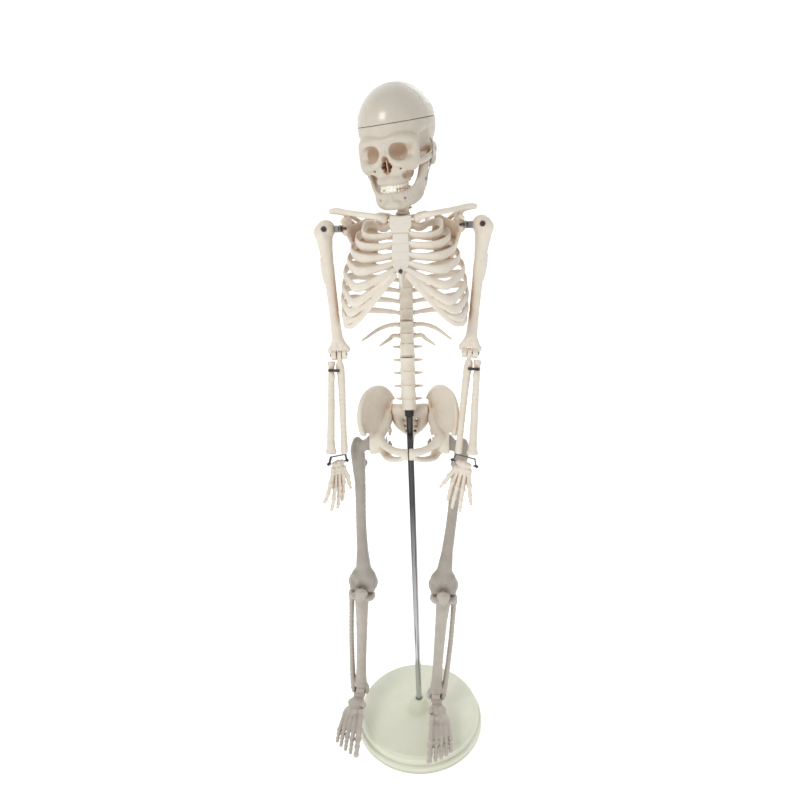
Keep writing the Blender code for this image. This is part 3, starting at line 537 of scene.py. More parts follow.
# ---------------------------------------------------------------- the trunk's curves
def spine_y(z):
    """How far back the spine's middle lies at a height."""
    bends = [
        (488, 0), (515, -2.5), (540, -1.5), (580, 6), (620, 15), (660, 18), (700, 12), (722, 6), (745, 1)
    ]
    bends.append((775, 3))
    for (low, y0), (high, y1) in zip(bends, bends[1:]):
        if z <= high:
            share = max(0.0, (z - low) / (high - low))
            share = share * share * (3 - 2 * share)
            return y0 + (y1 - y0) * share
    return bends[-1][1]


def vertebrae():
    """(kind, number, height of its middle, height of its body) from the lowest lumbar one up."""
    heights = [17.2, 16.8, 16.4, 15.6, 15.2] + [13.2] * 4 + [12.4] * 4 + [11.8] * 4 + [7.4] * 7
    kinds = [("L", n) for n in range(5, 0, -1)]
    kinds += [("T", n) for n in range(12, 0, -1)]
    kinds += [("C", n) for n in range(7, 0, -1)]
    z = 488.0
    for (kind, number), height in zip(kinds, heights):
        yield kind, number, z + height / 2, height
        z += height


def rib_height(number):
    return next(z for kind, n, z, _ in vertebrae() if kind == "T" and n == number)


def lean_at(z):
    """How far the spine leans at a height, in degrees."""
    return math.degrees(math.atan2(spine_y(z - 6) - spine_y(z + 6), 12))


def sides(shapes_of):
    """The shapes that a function of the side makes, for both sides."""
    return [shape for g in (1, -1) for shape in shapes_of(g)]


def make_spine():
    bone = Clay((-54, -16, 487), (54, 42, 771.2), 0.62)
    discs = Clay((-12, -16, 487), (12, 32, 768), 0.55)
    for kind, number, z, height in vertebrae():
        y, lean = spine_y(z), (lean_at(z), 0, 0)
        wide, deep = {"L": (9.3, 8.4), "T": (8.5, 7.9), "C": (6.6, 5.8)}[kind]
        back = y + deep + 3
        bone.add(drum(
            (0, y, z), wide, height * 0.455, waist=0.9, squash=deep / wide, rounding=0.8, tilt=lean,
            ridges=26
        ), 0.6)
        discs.add(drum(
            (0, y, z - height / 2), wide * 0.985, 1.5, squash=deep / wide, rounding=0.7, tilt=lean
        ), 0.3)
        bone.add(sides(lambda g: [stick(
            (g * 4.4, y + deep * 0.6, z + 1), (g * 3.8, back, z + 0.5), 2.4, 2.2
        )]), 1.4)
        bone.add(blob((0, back, z), (5.2, 3.4, height * 0.44), lean), 1.5)
        long, drop, thick = {"L": (13, 0.35, 1.8), "T": (11, 0.95, 1.7), "C": (8, 0.4, 1.5)}[kind]
        end = (0, back + long, z - height * drop)
        bone.add(stick((0, back, z), end, 2.6, thick, ((1, 0, 0), 1.7 if kind == "L" else 1.2)), 1.6)
        bone.add(blob(end, (2.0, 2.2, 2.9 if kind == "L" else 2.0)), 1.2)
        reach, push = {"L": (16.8, -1.0), "T": (9.6, 3.0), "C": (9.0, -1.5)}[kind]
        if kind == "L" and number == 5:
            reach = 15.0
        bone.add(sides(lambda g: [stick(
            (g * 3, back - 1, z + 0.5), (g * reach, back + push, z + 1.2), 2.5, 1.3, ((0, 1, 0), 1.3)
        )]), 1.4)
        bone.add(sides(lambda g: [blob((g * 4.2, back + 0.6, z - height * 0.42), (2.4, 2.8, 3.2))]), 1.4)
    for number, length, drop in ((11, 52.0, 13.0), (12, 33.0, 10.0)):
        z = rib_height(number)
        y = spine_y(z)
        for g in (-1, 1):
            points = [(g * 5, y + 5, z, 2.4), (g * 17, y + 11, z, 2.3)]
            points.append((g * length * 0.65, y + 9, z - drop * 0.35, 2.1))
            points.append((g * length, y - (14 if number == 11 else -1), z - drop, 1.1))
            bone.add(path(points, 3.0), 1.0)
    bone.cut(drum((0, 0, 498), 2.85, 24))
    bone.cut(brick((0, 0, 478.4), (60, 60, 20), 0.01), 0.1)
    bone.cut(brick((0, 0, 781.0), (60, 60, 20), 0.01), 0.1)
    discs.cut(brick((0, 0, 478.4), (60, 60, 20), 0.01), 0.1)
    piece("spine_look", bone.mesh("spine"), "torso", "bone", ["spine"])
    piece("spine_discs_look", discs.mesh("discs"), "torso", "disc")


def make_sacrum():
    clay = Clay((-24, -2, 419), (24, 37, 488.3), 0.55)
    clay.add([blob((0, 16, 479), (13, 8.5, 9.5))])
    clay.add(path([
        (0, 16, 478, 8.5), (0, 20, 462, 7), (0, 25, 446, 4.8), (0, 22, 430, 2.6), (0, 17, 422, 1.6)
    ]), 2)
    clay.add(path([(0, 27, 478, 3), (0, 31, 464, 3.2), (0, 32, 450, 2.4)]), 2)
    for g in (-1, 1):
        clay.add(path([
            (0, 17, 477, 8), (g * 12, 17.5, 479, 7.4), (g * 19, 20, 479, 6.8), (g * 21, 22, 476, 6.4)
        ]), 3)
        clay.add(path([(g * 20, 22, 478, 6.2), (g * 17.5, 22, 465, 5.2), (g * 12, 24, 453, 4.0)]), 3)
        clay.add(path([(g * 15.5, 20, 474, 6.5), (g * 13, 22, 460, 5), (g * 6, 26, 446, 3)]), 3)
        for x, z in ((7.2, 467), (6.2, 458), (5.2, 450)):
            clay.cut(drum((g * x, 12, z), 1.7, 14, axis=1), 1.2)
    for z in (471, 462.5, 454, 446.5, 437, 430.5):

        def line(x, y, h, z=z):
            return 0.45 * dip(h - z, 0.5) * np.exp(-((x / 6) ** 4))

        clay.carve((-9, 5, z - 1), (9, 30, z + 1), line)
    clay.cut(sides(lambda g: [brick((g * 32.4, 20, 470), (20, 60, 80), 0.1)]), 0.3)
    clay.cut(drum((0, 0, 470), 6.5, 40))
    clay.cut(brick((0, 16, 497.7), (60, 60, 20), 0.01), 0.1)
    clay.add(drum((0, 13.5, 484.5), 8.6, 3.0, squash=0.85, rounding=1.0), 1.2)
    clay.cut(drum((0, 0, 470), 6.5, 40))
    piece("sacrum_look", clay.mesh("sacrum"), "torso", "bone", ["sacrum"])


# the upper rim of a hip bone's wing, and the line that the wing rises from
CREST = [
    (20.5, 32, 484), (25, 27, 497), (33, 17, 509), (43, 4, 513), (52, -9, 509), (57, -20, 498),
    (58.2, -26, 482), (56, -28, 470)
]
HUB = [
    (24, 22, 468), (27, 15, 464), (31, 8, 462), (35, 1, 461), (40, -5, 460), (45, -10, 460), (50, -16, 460),
    (53, -20, 458)
]


def make_hip_bone():
    x, y, z = 44.5, -10.0, 447.0
    clay = Clay((2, -44, 403), (64, 36, 518), 0.6)
    rows = []
    for share, thick, push in ((0.0, 3.4, 0.0), (0.3, 1.7, 0.85), (0.62, 1.15, 0.9), (1.0, 2.0, 0.0)):
        row = [between(low, high, share) for low, high in zip(HUB, CREST)]
        rows.append([(a + 1.5 * push, b + 3 * push, c - push, thick) for a, b, c in row])
    clay.add(sheet(rows, 4, 3), 0.05)
    clay.add(path([(*p, 2.6) for p in CREST], 3.0), 1.2)
    clay.add(path([(*HUB[-1], 4.2), (54.5, -25, 463, 3.0), (56, -28, 470, 2.8)]), 2)
    clay.add([blob((x, y, z), 14.0)], 4)
    clay.add([blob((24, 25, 478), (4.2, 8, 12))], 2)
    clay.add(path([
        (x - 6, y - 6, 456, 6), (30, -24, 450, 4.2), (18, -33.5, 446.5, 3.6), (6, -37, 445, 4.2)
    ]), 3)
    clay.add([blob((2.5, -35.8, 442.5), (6.6, 4.6, 7.4))], 3)
    clay.add(path([(6, -34, 438, 3), (13, -25, 431, 2.9), (24, -8, 424, 3.6), (30, 2, 423, 5.0)]), 2)
    clay.add(path([(x - 4, y + 10, 446, 7), (36, 7, 432, 5.6), (31, 5, 425.5, 5.8)]), 3)
    clay.add(path([(x - 6, y + 14, 456, 5), (28, 18, 455, 3), (27, 19, 446, 1.6)]), 2)
    clay.add(path([
        (27.2, 19, 477, 4.2), (27.6, 13, 470, 5.0), (30, 4, 464.5, 5.0), (34.5, -7, 459, 5.0),
        (37, -15, 456, 5.0), (33, -22, 452, 4.4)
    ]), 2.5)
    clay.cut([blob((x, y, z), 11.7)], 0.6)
    clay.cut([brick((x + 24, y, z - 1), (40, 40, 34), 2)], 0.8)
    clay.cut([drum((x - 12, y, z), 4.0, 12, axis=0)])
    clay.cut([brick((-29.85, -36, 440), (60, 30, 60), 0.01)], 0.2)
    clay.cut([brick((3.0, 21, 470), (39.5, 34, 40), 0.3)], 0.5)
    clay.cut([drum((0, 0, 450), 7, 65)])
    pair("hip_bone", clay, "torso")


# half-width, front end of the bone, where its cartilage ends
RIBS = [
    (28, (20, -24, 704), (9, -31, 710)),
    (43, (34, -36, 695), (8, -38, 698)),
    (51, (37, -44, 686), (7, -43, 688)),
    (57, (40, -50, 675), (7, -48, 677)),
    (61.5, (43, -55, 662), (7, -52, 669)),
    (66.5, (46, -58, 646), (7, -55, 662)),
    (69, (50, -58, 630), (7, -57, 657)),
    (70.5, (56, -54, 619), (35, -59, 631)),
    (70, (62, -46, 609), (45, -56, 619)),
    (68, (65, -34, 602), (56, -47, 606)),
]
# height of each rib at the flank
RIB_SIDE = [713, 705, 694, 683, 672, 660, 646.5, 634, 621, 608]


def rib_points(index):
    """The rib's centre line from the spine to its front end, then its cartilage."""
    wide, front, end = RIBS[index]
    z = rib_height(index + 1)
    y = spine_y(z)
    side = RIB_SIDE[index]
    start = [(11.8, y + 8, z + 1, 2.2), (19, y + 13, z + 1.5, 2.2)]
    back = [
        (wide * 0.6, y + 13 - index * 0.4, (z + side) / 2 + 1.5, 2.3),
        (wide * 0.93, y * 0.55, side + 2.5, 2.4)
    ]
    flank = [(wide, -8 - index * 0.8, (side * 2 + front[2]) / 3, 2.4)]
    shoulder = ((wide * 0.95 + front[0]) / 2 + 3, (front[1] * 1.12 - 6) / 2 - 4, (side + 3 * front[2]) / 4)
    bone = start + back + flank + [(*shoulder, 2.4), (*front, 2.5)]
    middle = ((front[0] + end[0]) / 2, (front[1] + end[1]) / 2 - 1.5, (front[2] + end[2]) / 2 - 0.8, 2.3)
    return bone, [(*front, 2.5), middle, (*end, 2.3)]


def outward(point):
    """Which way the rib cage's wall faces at a point."""
    return unit(np.array((point[0] / 1.3, point[1] + 10, (point[2] - 640) * -0.12)))


def make_rib_cage():
    clay = Clay((4, -66, 594), (76, 34, 724), 0.62)

    def flat(point):
        return outward(point), 2.5

    for index in range(10):
        bone, gristle = rib_points(index)
        spine = spine_y(rib_height(index + 1))
        wider = [1.0, 1.2, 1.5, 1.75, 1.9, 1.95] + [1.9] * (len(bone) - 6)
        bone = [(6.0, spine + 5.5, rib_height(index + 1), 2.0)] + [
            (*p[:3], p[3] * w) for p, w in zip(bone, wider)
        ]
        ahead = [(*p[:3], p[3] * w) for p, w in zip(gristle[1:], (1.6, 1.4))]
        clay.add(path(bone + ahead, 2.5, flat), 0.9)
        end = np.array(bone[-1][:3])
        run = unit(np.array(gristle[1][:3]) - np.array(bone[-2][:3]))

        def seam(x, y, z, end=end, run=run):
            along = (x - end[0]) * run[0] + (y - end[1]) * run[1] + (z - end[2]) * run[2]
            return 0.5 * dip(along, 0.45)

        clay.carve(end - 5, end + 5, seam)
    margin = [
        (66, -35, 602, 4.2), (57, -46, 605, 5.2), (46, -55, 615, 4.8), (34, -59, 628, 4.2),
        (20, -59.5, 644, 3.8), (10, -57.5, 655, 3.4)
    ]
    clay.add(path(margin, 3.0, flat), 1.4)
    pair("rib_cage", clay, "torso")


def make_sternum():
    """Modelled upright in its own plane, then leant back by placing the piece's points."""
    clay = Clay((-14, -6, -80), (14, 6, 4), 0.42)
    outline = [
        (0, 11.6), (-10, 11.8), (-16, 10.0), (-19.0, 8.2), (-28, 8.8), (-38, 9.6), (-47, 9.8), (-54, 8.6),
        (-59, 5.0), (-61, 3.4)
    ]
    for (z0, w0), (z1, w1) in zip(outline, outline[1:]):
        steps = max(1, int(abs(z1 - z0) / 1.5))
        for i in range(steps):
            share = (i + 0.5) / steps
            z, w = z0 + (z1 - z0) * share, w0 + (w1 - w0) * share
            clay.add([brick((0, 0, z), (2 * w, 3.3, 2.4), 0.9)], 1.0)
    clay.add(path(
        [(0, 0, -58, 2.5), (0, -0.2, -66, 1.9), (0.6, -1.2, -74, 1.3), (1.4, -2.4, -78, 0.9)], 3.0,
        lambda p: (np.array((0, 1.0, 0)), 1.3)
    ), 1.5)
    clay.cut([blob((0, 0, 2.6), (6.0, 6, 3.0))], 1.2)
    for z in (-18.6, -29.5, -38.5, -47.0):
        strong = 0.8 if z == -18.6 else 0.3
        clay.carve((-13, -4, z - 2), (13, 4, z + 2), lambda x, y, h, z=z, s=strong: s * dip(h - z, 0.6))
    for z in (-19, -26, -33.5, -40.5, -47, -52.5):
        clay.cut(sides(lambda g, z=z: [blob((g * 11.2, -1.4, z + 3.4), (2.0, 3, 1.6))]), 1.0)
    clay.cut([drum((0, 0, -59), 1.5, 8, axis=1)])
    mesh = clay.mesh("sternum")
    lean = Euler((math.radians(-23.2), 0, 0)).to_matrix().to_4x4()
    mesh.transform(Matrix.Translation((0, -0.032, 0.716)) @ lean)
    piece("sternum_look", mesh, "torso", "plate", ["sternum"])


def make_scapula():
    clay = Clay((30, -18, 636), (84, 40, 728), 0.55)
    border = [
        (38, 25, 715, 1.2), (34, 31, 700, 1.1), (34, 34, 682, 1.0), (38, 35, 660, 1.1), (45, 33.5, 643, 1.5)
    ]
    root = [
        (61, 8, 704, 2.4), (61, 8, 702, 2.2), (61.5, 8, 700, 2.0), (61.5, 8, 698, 2.0), (62, 8, 696, 2.2)
    ]
    halfway = [between(a[:3], b[:3], 0.5) for a, b in zip(root, border)]
    middle = [(x, y + 3.0, z, 0.9) for x, y, z in halfway]
    clay.add(sheet([root, middle, border], 4, 3), 0.05)
    clay.add(path([(*p[:3], 1.8) for p in border], 3.0), 1.4)
    clay.add(path([(62, 7, 697, 3.2), (56, 25.5, 672, 2.2), (46, 34, 644, 2)]), 1.6)
    clay.add([blob((64.5, 3.0, 703), (5.2, 6.5, 8))], 2.5)
    clay.add(path([
        (35, 33, 700, 1.4), (48, 29.5, 707, 2), (62, 20, 717, 2.4), (73, 12, 721.5, 2.8),
        (79.5, 7.5, 722, 2.6)
    ]), 1.5)
    clay.add(path([(48, 27, 700, 1.6), (56, 20, 706, 1.8), (66, 14, 716, 1.8)]), 1.5)
    clay.add(path([(60.5, 3, 709, 3.4), (61, -6, 714.5, 2.8), (66, -13, 711.5, 2.1)]), 1.8)
    clay.cut([brick((78.6, 1, 704), (20, 40, 19), 0.2)], 0.4)
    clay.cut([drum((65.5, -4.2, 704), 1.7, 11, axis=0)])
    pair("scapula", clay, "torso")


def make_clavicle():
    clay = Clay((12, -42, 706), (86, 8, 730), 0.5)
    line = [
        (17.5, -31, 713.5, 4), (24, -36, 716, 3), (38, -34, 718.5, 2.7), (58, -16, 721, 2.6),
        (72, -3.5, 723, 2.9), (79.5, 0.6, 722.5, 2.9)
    ]
    clay.add(path(line, 3.0), 1.2)
    clay.add([blob((17.5, -31, 713.5), (3.6, 4.6, 4.8))], 1.5)
    pair("clavicle", clay, "torso")


# ---------------------------------------------------------------- arms
def make_humerus():
    clay = Clay((-16, -13, -151), (14, 13, 13), 0.6)
    clay.add([blob((-0.5, 0.5, 0), (10.2, 10.4, 10.5)), blob((3.5, -1, -2.5), (8.6, 9.2, 9.2))], 3)
    clay.add([blob((8.5, -4.5, -3.5), (4.2, 4.4, 6.5)), blob((2.4, -8.2, -6), (2.8, 2.6, 5.5))], 2.5)
    clay.add(path([
        (2.5, 0, -6, 9.0), (2, 0, -22, 6.9), (1, 0, -42, 5.7), (0, 0, -90, 4.9), (-0.5, 0, -116, 5.4),
        (-1, 0, -126, 6)
    ], 6), 3)
    clay.add(path([(6.5, -2, -34, 3.0), (5.2, -2, -58, 2.4)], 6), 3)
    clay.add([blob((-1, 0.5, -133), (10, 4.2, 9))], 4)
    clay.add([blob((-10.5, 1, -137), (3.8, 3.6, 4.6)), blob((8.6, 0.5, -138), (3.6, 3.4, 4.6))], 2.5)
    clay.add([
        drum((-6.4, 0, ELBOW), 6.3, 3.4, axis=0, rounding=0.8, waist=0.7),
        drum((5.2, 0, ELBOW), 5.9, 3.2, axis=0, rounding=1.4)
    ], 0.8)
    clay.cut([blob((-1, 5.5, -131.5), (4.6, 3.0, 5.2)), blob((-1, -4.6, -132), (4.2, 1.8, 4.0))], 1.2)
    clay.cut([
        brick((-6.5, 0, 5), (23, 2.0, 20.6), 0.05), drum((0, 0, 0), 1.65, 30, axis=1),
        drum((0, -13.9, 0), 3.3, 5, axis=1)
    ], 0.4)
    clay.cut([brick((-1.5, 0, -145), (6.2, 26, 16.5), 0.1), drum((0, 0, ELBOW), 1.45, 25, axis=0)], 0.4)
    clay.cut([drum((13.2, 0, ELBOW), 2.5, 5, axis=0), drum((-15.4, 0, ELBOW), 2.5, 5, axis=0)], 0.3)
    pair("humerus", clay, "upper_arm")


def make_ulna():
    clay = Clay((-13, -7, -120), (4, 9, 7), 0.5)
    clay.add([
        drum((-1.5, 0, 0), 5.3, 2.5, axis=0, rounding=0.5), brick((-1.5, 0.8, -6.5), (5.0, 8.0, 9), 1.0)
    ], 1.5)
    clay.add(path([
        (-1.5, 0.5, -12.5, 4.6), (-3.5, 1, -30, 3.9), (-6, 0, -80, 3.3), (-7.5, 0, -112, 3.6),
        (-7.5, 0, -116, 4.2)
    ], 5), 2)
    clay.cut([drum((0, 0, 0), 1.75, 25, axis=0), brick((-8, 0, -130), (30, 40, 21.4), 0.05)], 0.3)
    pair("ulna", clay, "forearm")


def make_radius():
    clay = Clay((0, -9, -120), (16, 5, -6), 0.5)
    clay.add(path([
        (8.4, -1, -19, 3.6), (8.4, -1, -25, 3.2), (8.2, -1.5, -60, 3.7), (8.6, -2, -98, 4.1),
        (8.2, -2, -114, 5)
    ], 5), 2)
    clay.add([drum((8.4, -1, -10.8), 4.5, 2.6, rounding=0.9, waist=0.3)], 1.5)
    clay.add(path([(8.4, -1, -12, 3.3), (8.4, -1, -19, 3.3)]), 1)
    clay.add([
        blob((6.8, -2.4, -26), (2.8, 2.6, 4)), blob((8.0, -2, -117), (6.4, 4.6, 5)),
        blob((12.4, -2, -117), (2.4, 2.8, 3.4))
    ], 2)
    clay.cut([brick((8, 0, -130), (30, 40, 21.4), 0.05), blob((8.4, -1, -7.2), (3.2, 3.2, 1.6))], 0.5)
    clay.carve((3, -8, -106), (14, 4, -102), lambda x, y, z: 0.35 * dip(z + 104, 0.5))
    pair("radius", clay, "forearm")


ELBOW = -143.0

# sideways place of each finger bone's base, knuckle and tip, and the finger's length from the wrist
FINGERS = [(-6, -9, -12, 53), (-1.5, -2.5, -5, 61), (3.5, 4.5, 5.5, 62), (8.0, 11.5, 17, 50)]


def bony_row(clay, joints, thin=0.78, k=0.8):
    """Little bones end to end: knobs at the joints (x, y, z, radius) and waisted shafts between them."""
    for a, b in zip(joints, joints[1:]):
        a, b = np.array(a, float), np.array(b, float)
        middle = (a + b) / 2
        waist = min(a[3], b[3]) * thin
        clay.add([
            stick(a[:3], middle[:3], a[3] * 0.8, waist), stick(middle[:3], b[:3], waist, b[3] * 0.85)
        ], k)
    clay.add([blob(p[:3], (p[3] * 1.03, p[3], p[3] * 0.9)) for p in joints], 0.6)
    for p in joints[1:-1]:
        place = np.array(p[:3])
        clay.carve(place - 4, place + 4, lambda x, y, z, p=p: 0.28 * dip(z - p[2], 0.35) * dip(x - p[0], 3))


def make_hand():
    clay = Clay((-26, -6, -64), (20, 7, 4), 0.42)
    carpals = [
        (-6, -0.6, -1.8, 3.6), (0.2, -0.8, -1.2, 3.8), (6, -0.4, -2.4, 3.2), (-8, -0.4, -8.5, 3.4),
        (-3, -0.8, -8.6, 3.5), (2.4, -0.8, -8.2, 3.4), (7.8, -0.2, -8.6, 3.2)
    ]
    clay.add([blob((0, 0, -3.5), (8.0, 3.4, 5.2)), blob((0.5, 0, -10), (10.6, 3.0, 5.6))], 2)
    clay.add([blob(p[:3], (p[3], p[3] * 0.98, p[3] * 0.95)) for p in carpals], 0.7)
    bony_row(clay, [
        (-8, -1, -9, 3.4), (-14.5, -2.2, -21, 3.2), (-19, -1, -30.5, 2.7), (-23.2, 1, -37.6, 1.9)
    ])
    for base, knuckle, tip, length in FINGERS:
        low = -length * 0.52
        span = -length - low
        row = [
            (base, -0.2, -13, 3.0), (knuckle, -0.8, low, 3.4),
            (knuckle + (tip - knuckle) * 0.48, 0.3, low + span * 0.48, 2.85)
        ]
        row += [
            (knuckle + (tip - knuckle) * 0.79, 2.0, low + span * 0.79, 2.4), (tip, 3.4, -length + 1.7, 1.95)
        ]
        bony_row(clay, row)
    for (b0, k0, _, l0), (b1, k1, _, l1) in zip(FINGERS, FINGERS[1:]):
        a, b = (b0, 0.7, -12), (b1, 0.7, -12)
        c, d = (k0, 0.7, -l0 * 0.44), (k1, 0.7, -l1 * 0.44)
        clay.add([triangle(a, b, c, 0.55), triangle(b, d, c, 0.55)], 0.6)
    pair("hand", clay, "hand")


# ---------------------------------------------------------------- legs
def make_femur():
    knee = -200.5
    clay = Clay((-27, -14, -213), (31, 14, 12), 0.7)
    clay.add([blob((0, 0, 0), 11)], 1)
    clay.add(path([(5, 0.5, -2, 6.2), (13, 1, -6, 6.3), (20, 2, -10, 7.4)]), 2.5)
    clay.add([
        blob((21, 3, -5), (6.2, 7.4, 8.6)), blob((20.5, 2, -14), (7.2, 7.6, 10)),
        blob((9.5, 6, -31), (4.0, 4, 4.8))
    ], 3)
    clay.add(path([(19, 4, -8, 3), (15, 6.4, -20, 2.6), (10, 6.4, -31, 2.6)]), 2)
    clay.add(path([
        (18.5, 1, -16, 8.2), (15.5, 0, -34, 7.2), (11, -1, -60, 6.1), (5, -2.5, -110, 5.8),
        (-0.5, -1.5, -150, 6.6)
    ], 7), 3)
    clay.add(path([(-0.5, -1.5, -150, 6.6), (-3.5, -0.5, -172, 8.6), (-5.5, 0, -186, 10.6)], 6), 3)
    clay.add([
        blob((-16, 1, knee + 1.5), (9.6, 11.2, 11.4)), blob((4, 1, knee + 1.5), (9.6, 11.2, 11.4))
    ], 2)
    clay.add([drum((-6, 0, knee), 11, 16.5, axis=0, rounding=3.0, waist=0.8)], 1.5)
    clay.add([blob((-6, -2.5, -189), (16.5, 10.5, 14))], 3)
    clay.cut([blob((-6, -14.5, -192), (4.4, 3.0, 12)), blob((21.5, -2, -10), (2, 1.6, 6))], 2.5)
    clay.cut([
        brick((-6, 9.5, knee - 3.5), (6.6, 23, 24), 0.1), brick((-6, -6, knee - 8), (6.6, 26, 15), 0.1)
    ], 0.6)
    clay.cut([
        drum((-6, 0, knee), 8.4, 3.3, axis=0), drum((-6, 0, knee), 1.85, 35, axis=0),
        drum((-9, 0, 0), 2.35, 15, axis=0)
    ], 0.3)
    pair("femur", clay, "thigh", "thigh")


def make_tibia():
    """The shin bone with the calf bone beside it."""
    clay = Clay((-29, -14, -187), (21, 14, 9), 0.68)
    clay.add([
        blob((-8.5, 1, -18.5), (9.6, 10.2, 7.0)), blob((8.5, 1, -18.5), (9.6, 10.2, 7.0)),
        brick((0, 1, -15.5), (30, 16, 5), 2.4)
    ], 2.5)
    shaft = [
        (0, 1, -20, 9.8), (-0.5, -1, -34, 8.0), (-1, -1.5, -60, 7.0), (-1, 0, -110, 6.1),
        (-0.5, 2.5, -148, 6.4), (0, 4, -164, 8.2)
    ]
    clay.add(leant(path(shaft, 7)), 3)
    clay.add(leant(path([(0, -7.5, -34, 2.6), (-1.5, -6, -60, 1.6), (-2, -4.6, -100, 1.2)], 6)), 3)
    clay.add(leant([
        blob((0, -7.8, -31), (4.2, 3.4, 6)), blob((0, 4, -168), (9.6, 7.2, 6)),
        blob((-9, 4, -175), (3.2, 5.6, 7.5))
    ]), 3)
    clay.add(leant([blob((13.5, 7, -27), (5, 5, 5.5))]), 2)
    calf = [
        (14, 7.5, -28, 4.4), (14.5, 8, -40, 3.2), (14.5, 8, -90, 3.1), (12.5, 7, -148, 3.4),
        (10.6, 5.5, -170, 4.0), (10.0, 5, -181, 3.4)
    ]
    clay.add(leant(path(calf, 6)), 1.6)
    clay.add([drum((0, 0, 0), 7.6, 2.8, axis=0), brick((0, 0.5, -11.5), (5.6, 9.5, 14), 0.4)], 0.8)
    clay.cut([
        drum((17.9, 0, 0), 12.9, 15, axis=0, rounding=1.0),
        drum((-17.9, 0, 0), 12.9, 15, axis=0, rounding=1.0)
    ], 0.8)
    clay.cut([
        drum((0, 0, 0), 1.85, 20, axis=0), brick((-12.8, 4, -179.4), (12.2, 40, 12), 0.3),
        drum((-12.8, 4, -175), 8.4, 6.1, axis=0)
    ], 0.5)
    clay.cut([drum((-13, 4, -175), 1.55, 30, axis=0)])
    pair("tibia", clay, "shank", "leg")


def make_patella():
    clay = Clay((-9, -23, -22), (9, -9, 3), 0.45)
    clay.add([
        blob((0, -17.8, -3.5), (8.6, 4.0, 6.6)), blob((0, -17.6, -8.5), (6.6, 3.8, 7.0)),
        blob((0, -17.0, -14), (3.6, 3.0, 5.0))
    ], 2.5)
    clay.cut([drum((0, 0, 0), 13.4, 30, axis=0), brick((0, -6.5, -24.5), (40, 15.6, 20), 0.2)], 0.4)
    pair("patella", clay, "shank", "leg")


# sideways place of each small toe's base, ball and tip, then how far forward its ball and tip are
TOES = [
    (1, 0.9, 0.2, -61, -80), (7, 7.8, 7.4, -58, -76), (12.5, 14.2, 14.2, -54, -71),
    (17, 20.2, 20.2, -49, -65)
]


def make_foot():
    clay = Clay((-14, -90, -35), (29, 32, 9), 0.58)
    clay.add([drum((0.2, 0, 0), 7.5, 5.6, axis=0, rounding=1.0)], 0.5)
    clay.add([blob((1, 2, -11), (8.5, 10, 7.5))], 2)
    clay.add(path([(1, 6, -13, 7.2), (1, 17, -20, 7.6), (1, 22, -25, 7.2)]), 2)
    clay.add([blob((2, -12, -15.5), (10.8, 11, 7.4)), blob((5, -24, -19), (13.5, 8.8, 6.4))], 2.5)
    bumps = [
        (-6.5, -17, -13.0, 4.8), (-5, -27, -15.5, 4.4), (2.5, -28, -15.5, 4.4), (9.5, -27, -17, 4.4),
        (15, -24, -20.5, 4.2), (10, -13, -15, 5.2)
    ]
    clay.add([blob(p[:3], (p[3], p[3] * 1.05, p[3])) for p in bumps], 0.8)
    rows = [[
        (-5.5, -31, -19.5, 4.6), (-7, -60, -27.0, 4.6), (-7.4, -71, -28.4, 3.7), (-7.8, -82.5, -29.0, 3.6)
    ]]
    for base, head, tip, ball_y, tip_y in TOES:
        middle = ((head * 0.62 + tip * 0.38), ball_y * 0.6 + tip_y * 0.4, -28.6, 2.7)
        late = ((head * 0.25 + tip * 0.75), ball_y * 0.25 + tip_y * 0.75, -29.6, 2.5)
        rows.append([
            (base, -29, -19.5, 3.2), (head, ball_y, -28.0, 3.3), middle, late, (tip, tip_y, -30.0, 2.3)
        ])
    for row in rows:
        for a, b in zip(row, row[1:]):
            a, b = np.array(a, float), np.array(b, float)
            middle = (a + b) / 2
            waist = min(a[3], b[3]) * 0.75
            clay.add([
                stick(a[:3], middle[:3], a[3] * 0.85, waist), stick(middle[:3], b[:3], waist, b[3] * 0.85)
            ], 0.9)
        clay.add([blob(p[:3], (p[3] * 1.02, p[3] * 1.05, p[3])) for p in row], 0.7)
    for first, second in zip(rows, rows[1:]):
        a, b, c, d = (np.array(p[:3], float) for p in (first[0], second[0], first[1], second[1]))
        c, d = a + (c - a) * 0.72, b + (d - b) * 0.72
        clay.add([triangle(a, b, c, 1.2), triangle(b, d, c, 1.2)], 0.8)
    clay.cut([drum((0, 0, 0), 1.55, 20, axis=0), brick((0, -20, -44.3), (80, 160, 20), 0.2)], 0.4)
    pair("foot", clay, "foot", "foot")


# ---------------------------------------------------------------- the head
def cranium(clay):
    clay.add([blob((0, 1.5, 30), (40.5, 48, 41)), blob((0, -16, 27), (33.5, 34.5, 36.5))], 5)


def wavy(clay, low, high, line, depth=0.45, width=0.5):
    """A groove, or with a negative depth a ridge, along the curve where line(x, y, z) is nought."""
    clay.carve(low, high, lambda x, y, z: depth * dip(line(x, y, z), width))


def wavy_pair(clay, low, high, line, depth=0.45, width=0.5):
    """The same on both sides, for a box on the left and a line(x, y, z, side)."""
    for g in (1, -1):
        near, far = sorted((g * low[0], g * high[0]))
        wavy(clay, (near, *low[1:]), (far, *high[1:]), lambda x, y, z, g=g: line(x, y, z, g), depth, width)


def squama(x, y, z, g):
    """The round seam above the ear."""
    return np.hypot(y + 3, (z - 3) * 1.05) - 22 + 0.5 * np.sin(y * 1.9 + z * 1.4)


def coronal(x, y, z):
    """The seam over the top from ear to ear."""
    return y + 15 - (z - 33) * 0.12 + 1.0 * np.sin(x * 0.9) * np.sin(x * 2.3 + z) + 0.5 * np.sin(z * 2.1)


def midline(x, y, z):
    """The seam from the coronal one to the back of the head."""
    return x + 0.9 * np.sin(y * 0.9) * np.sin(y * 2.1)


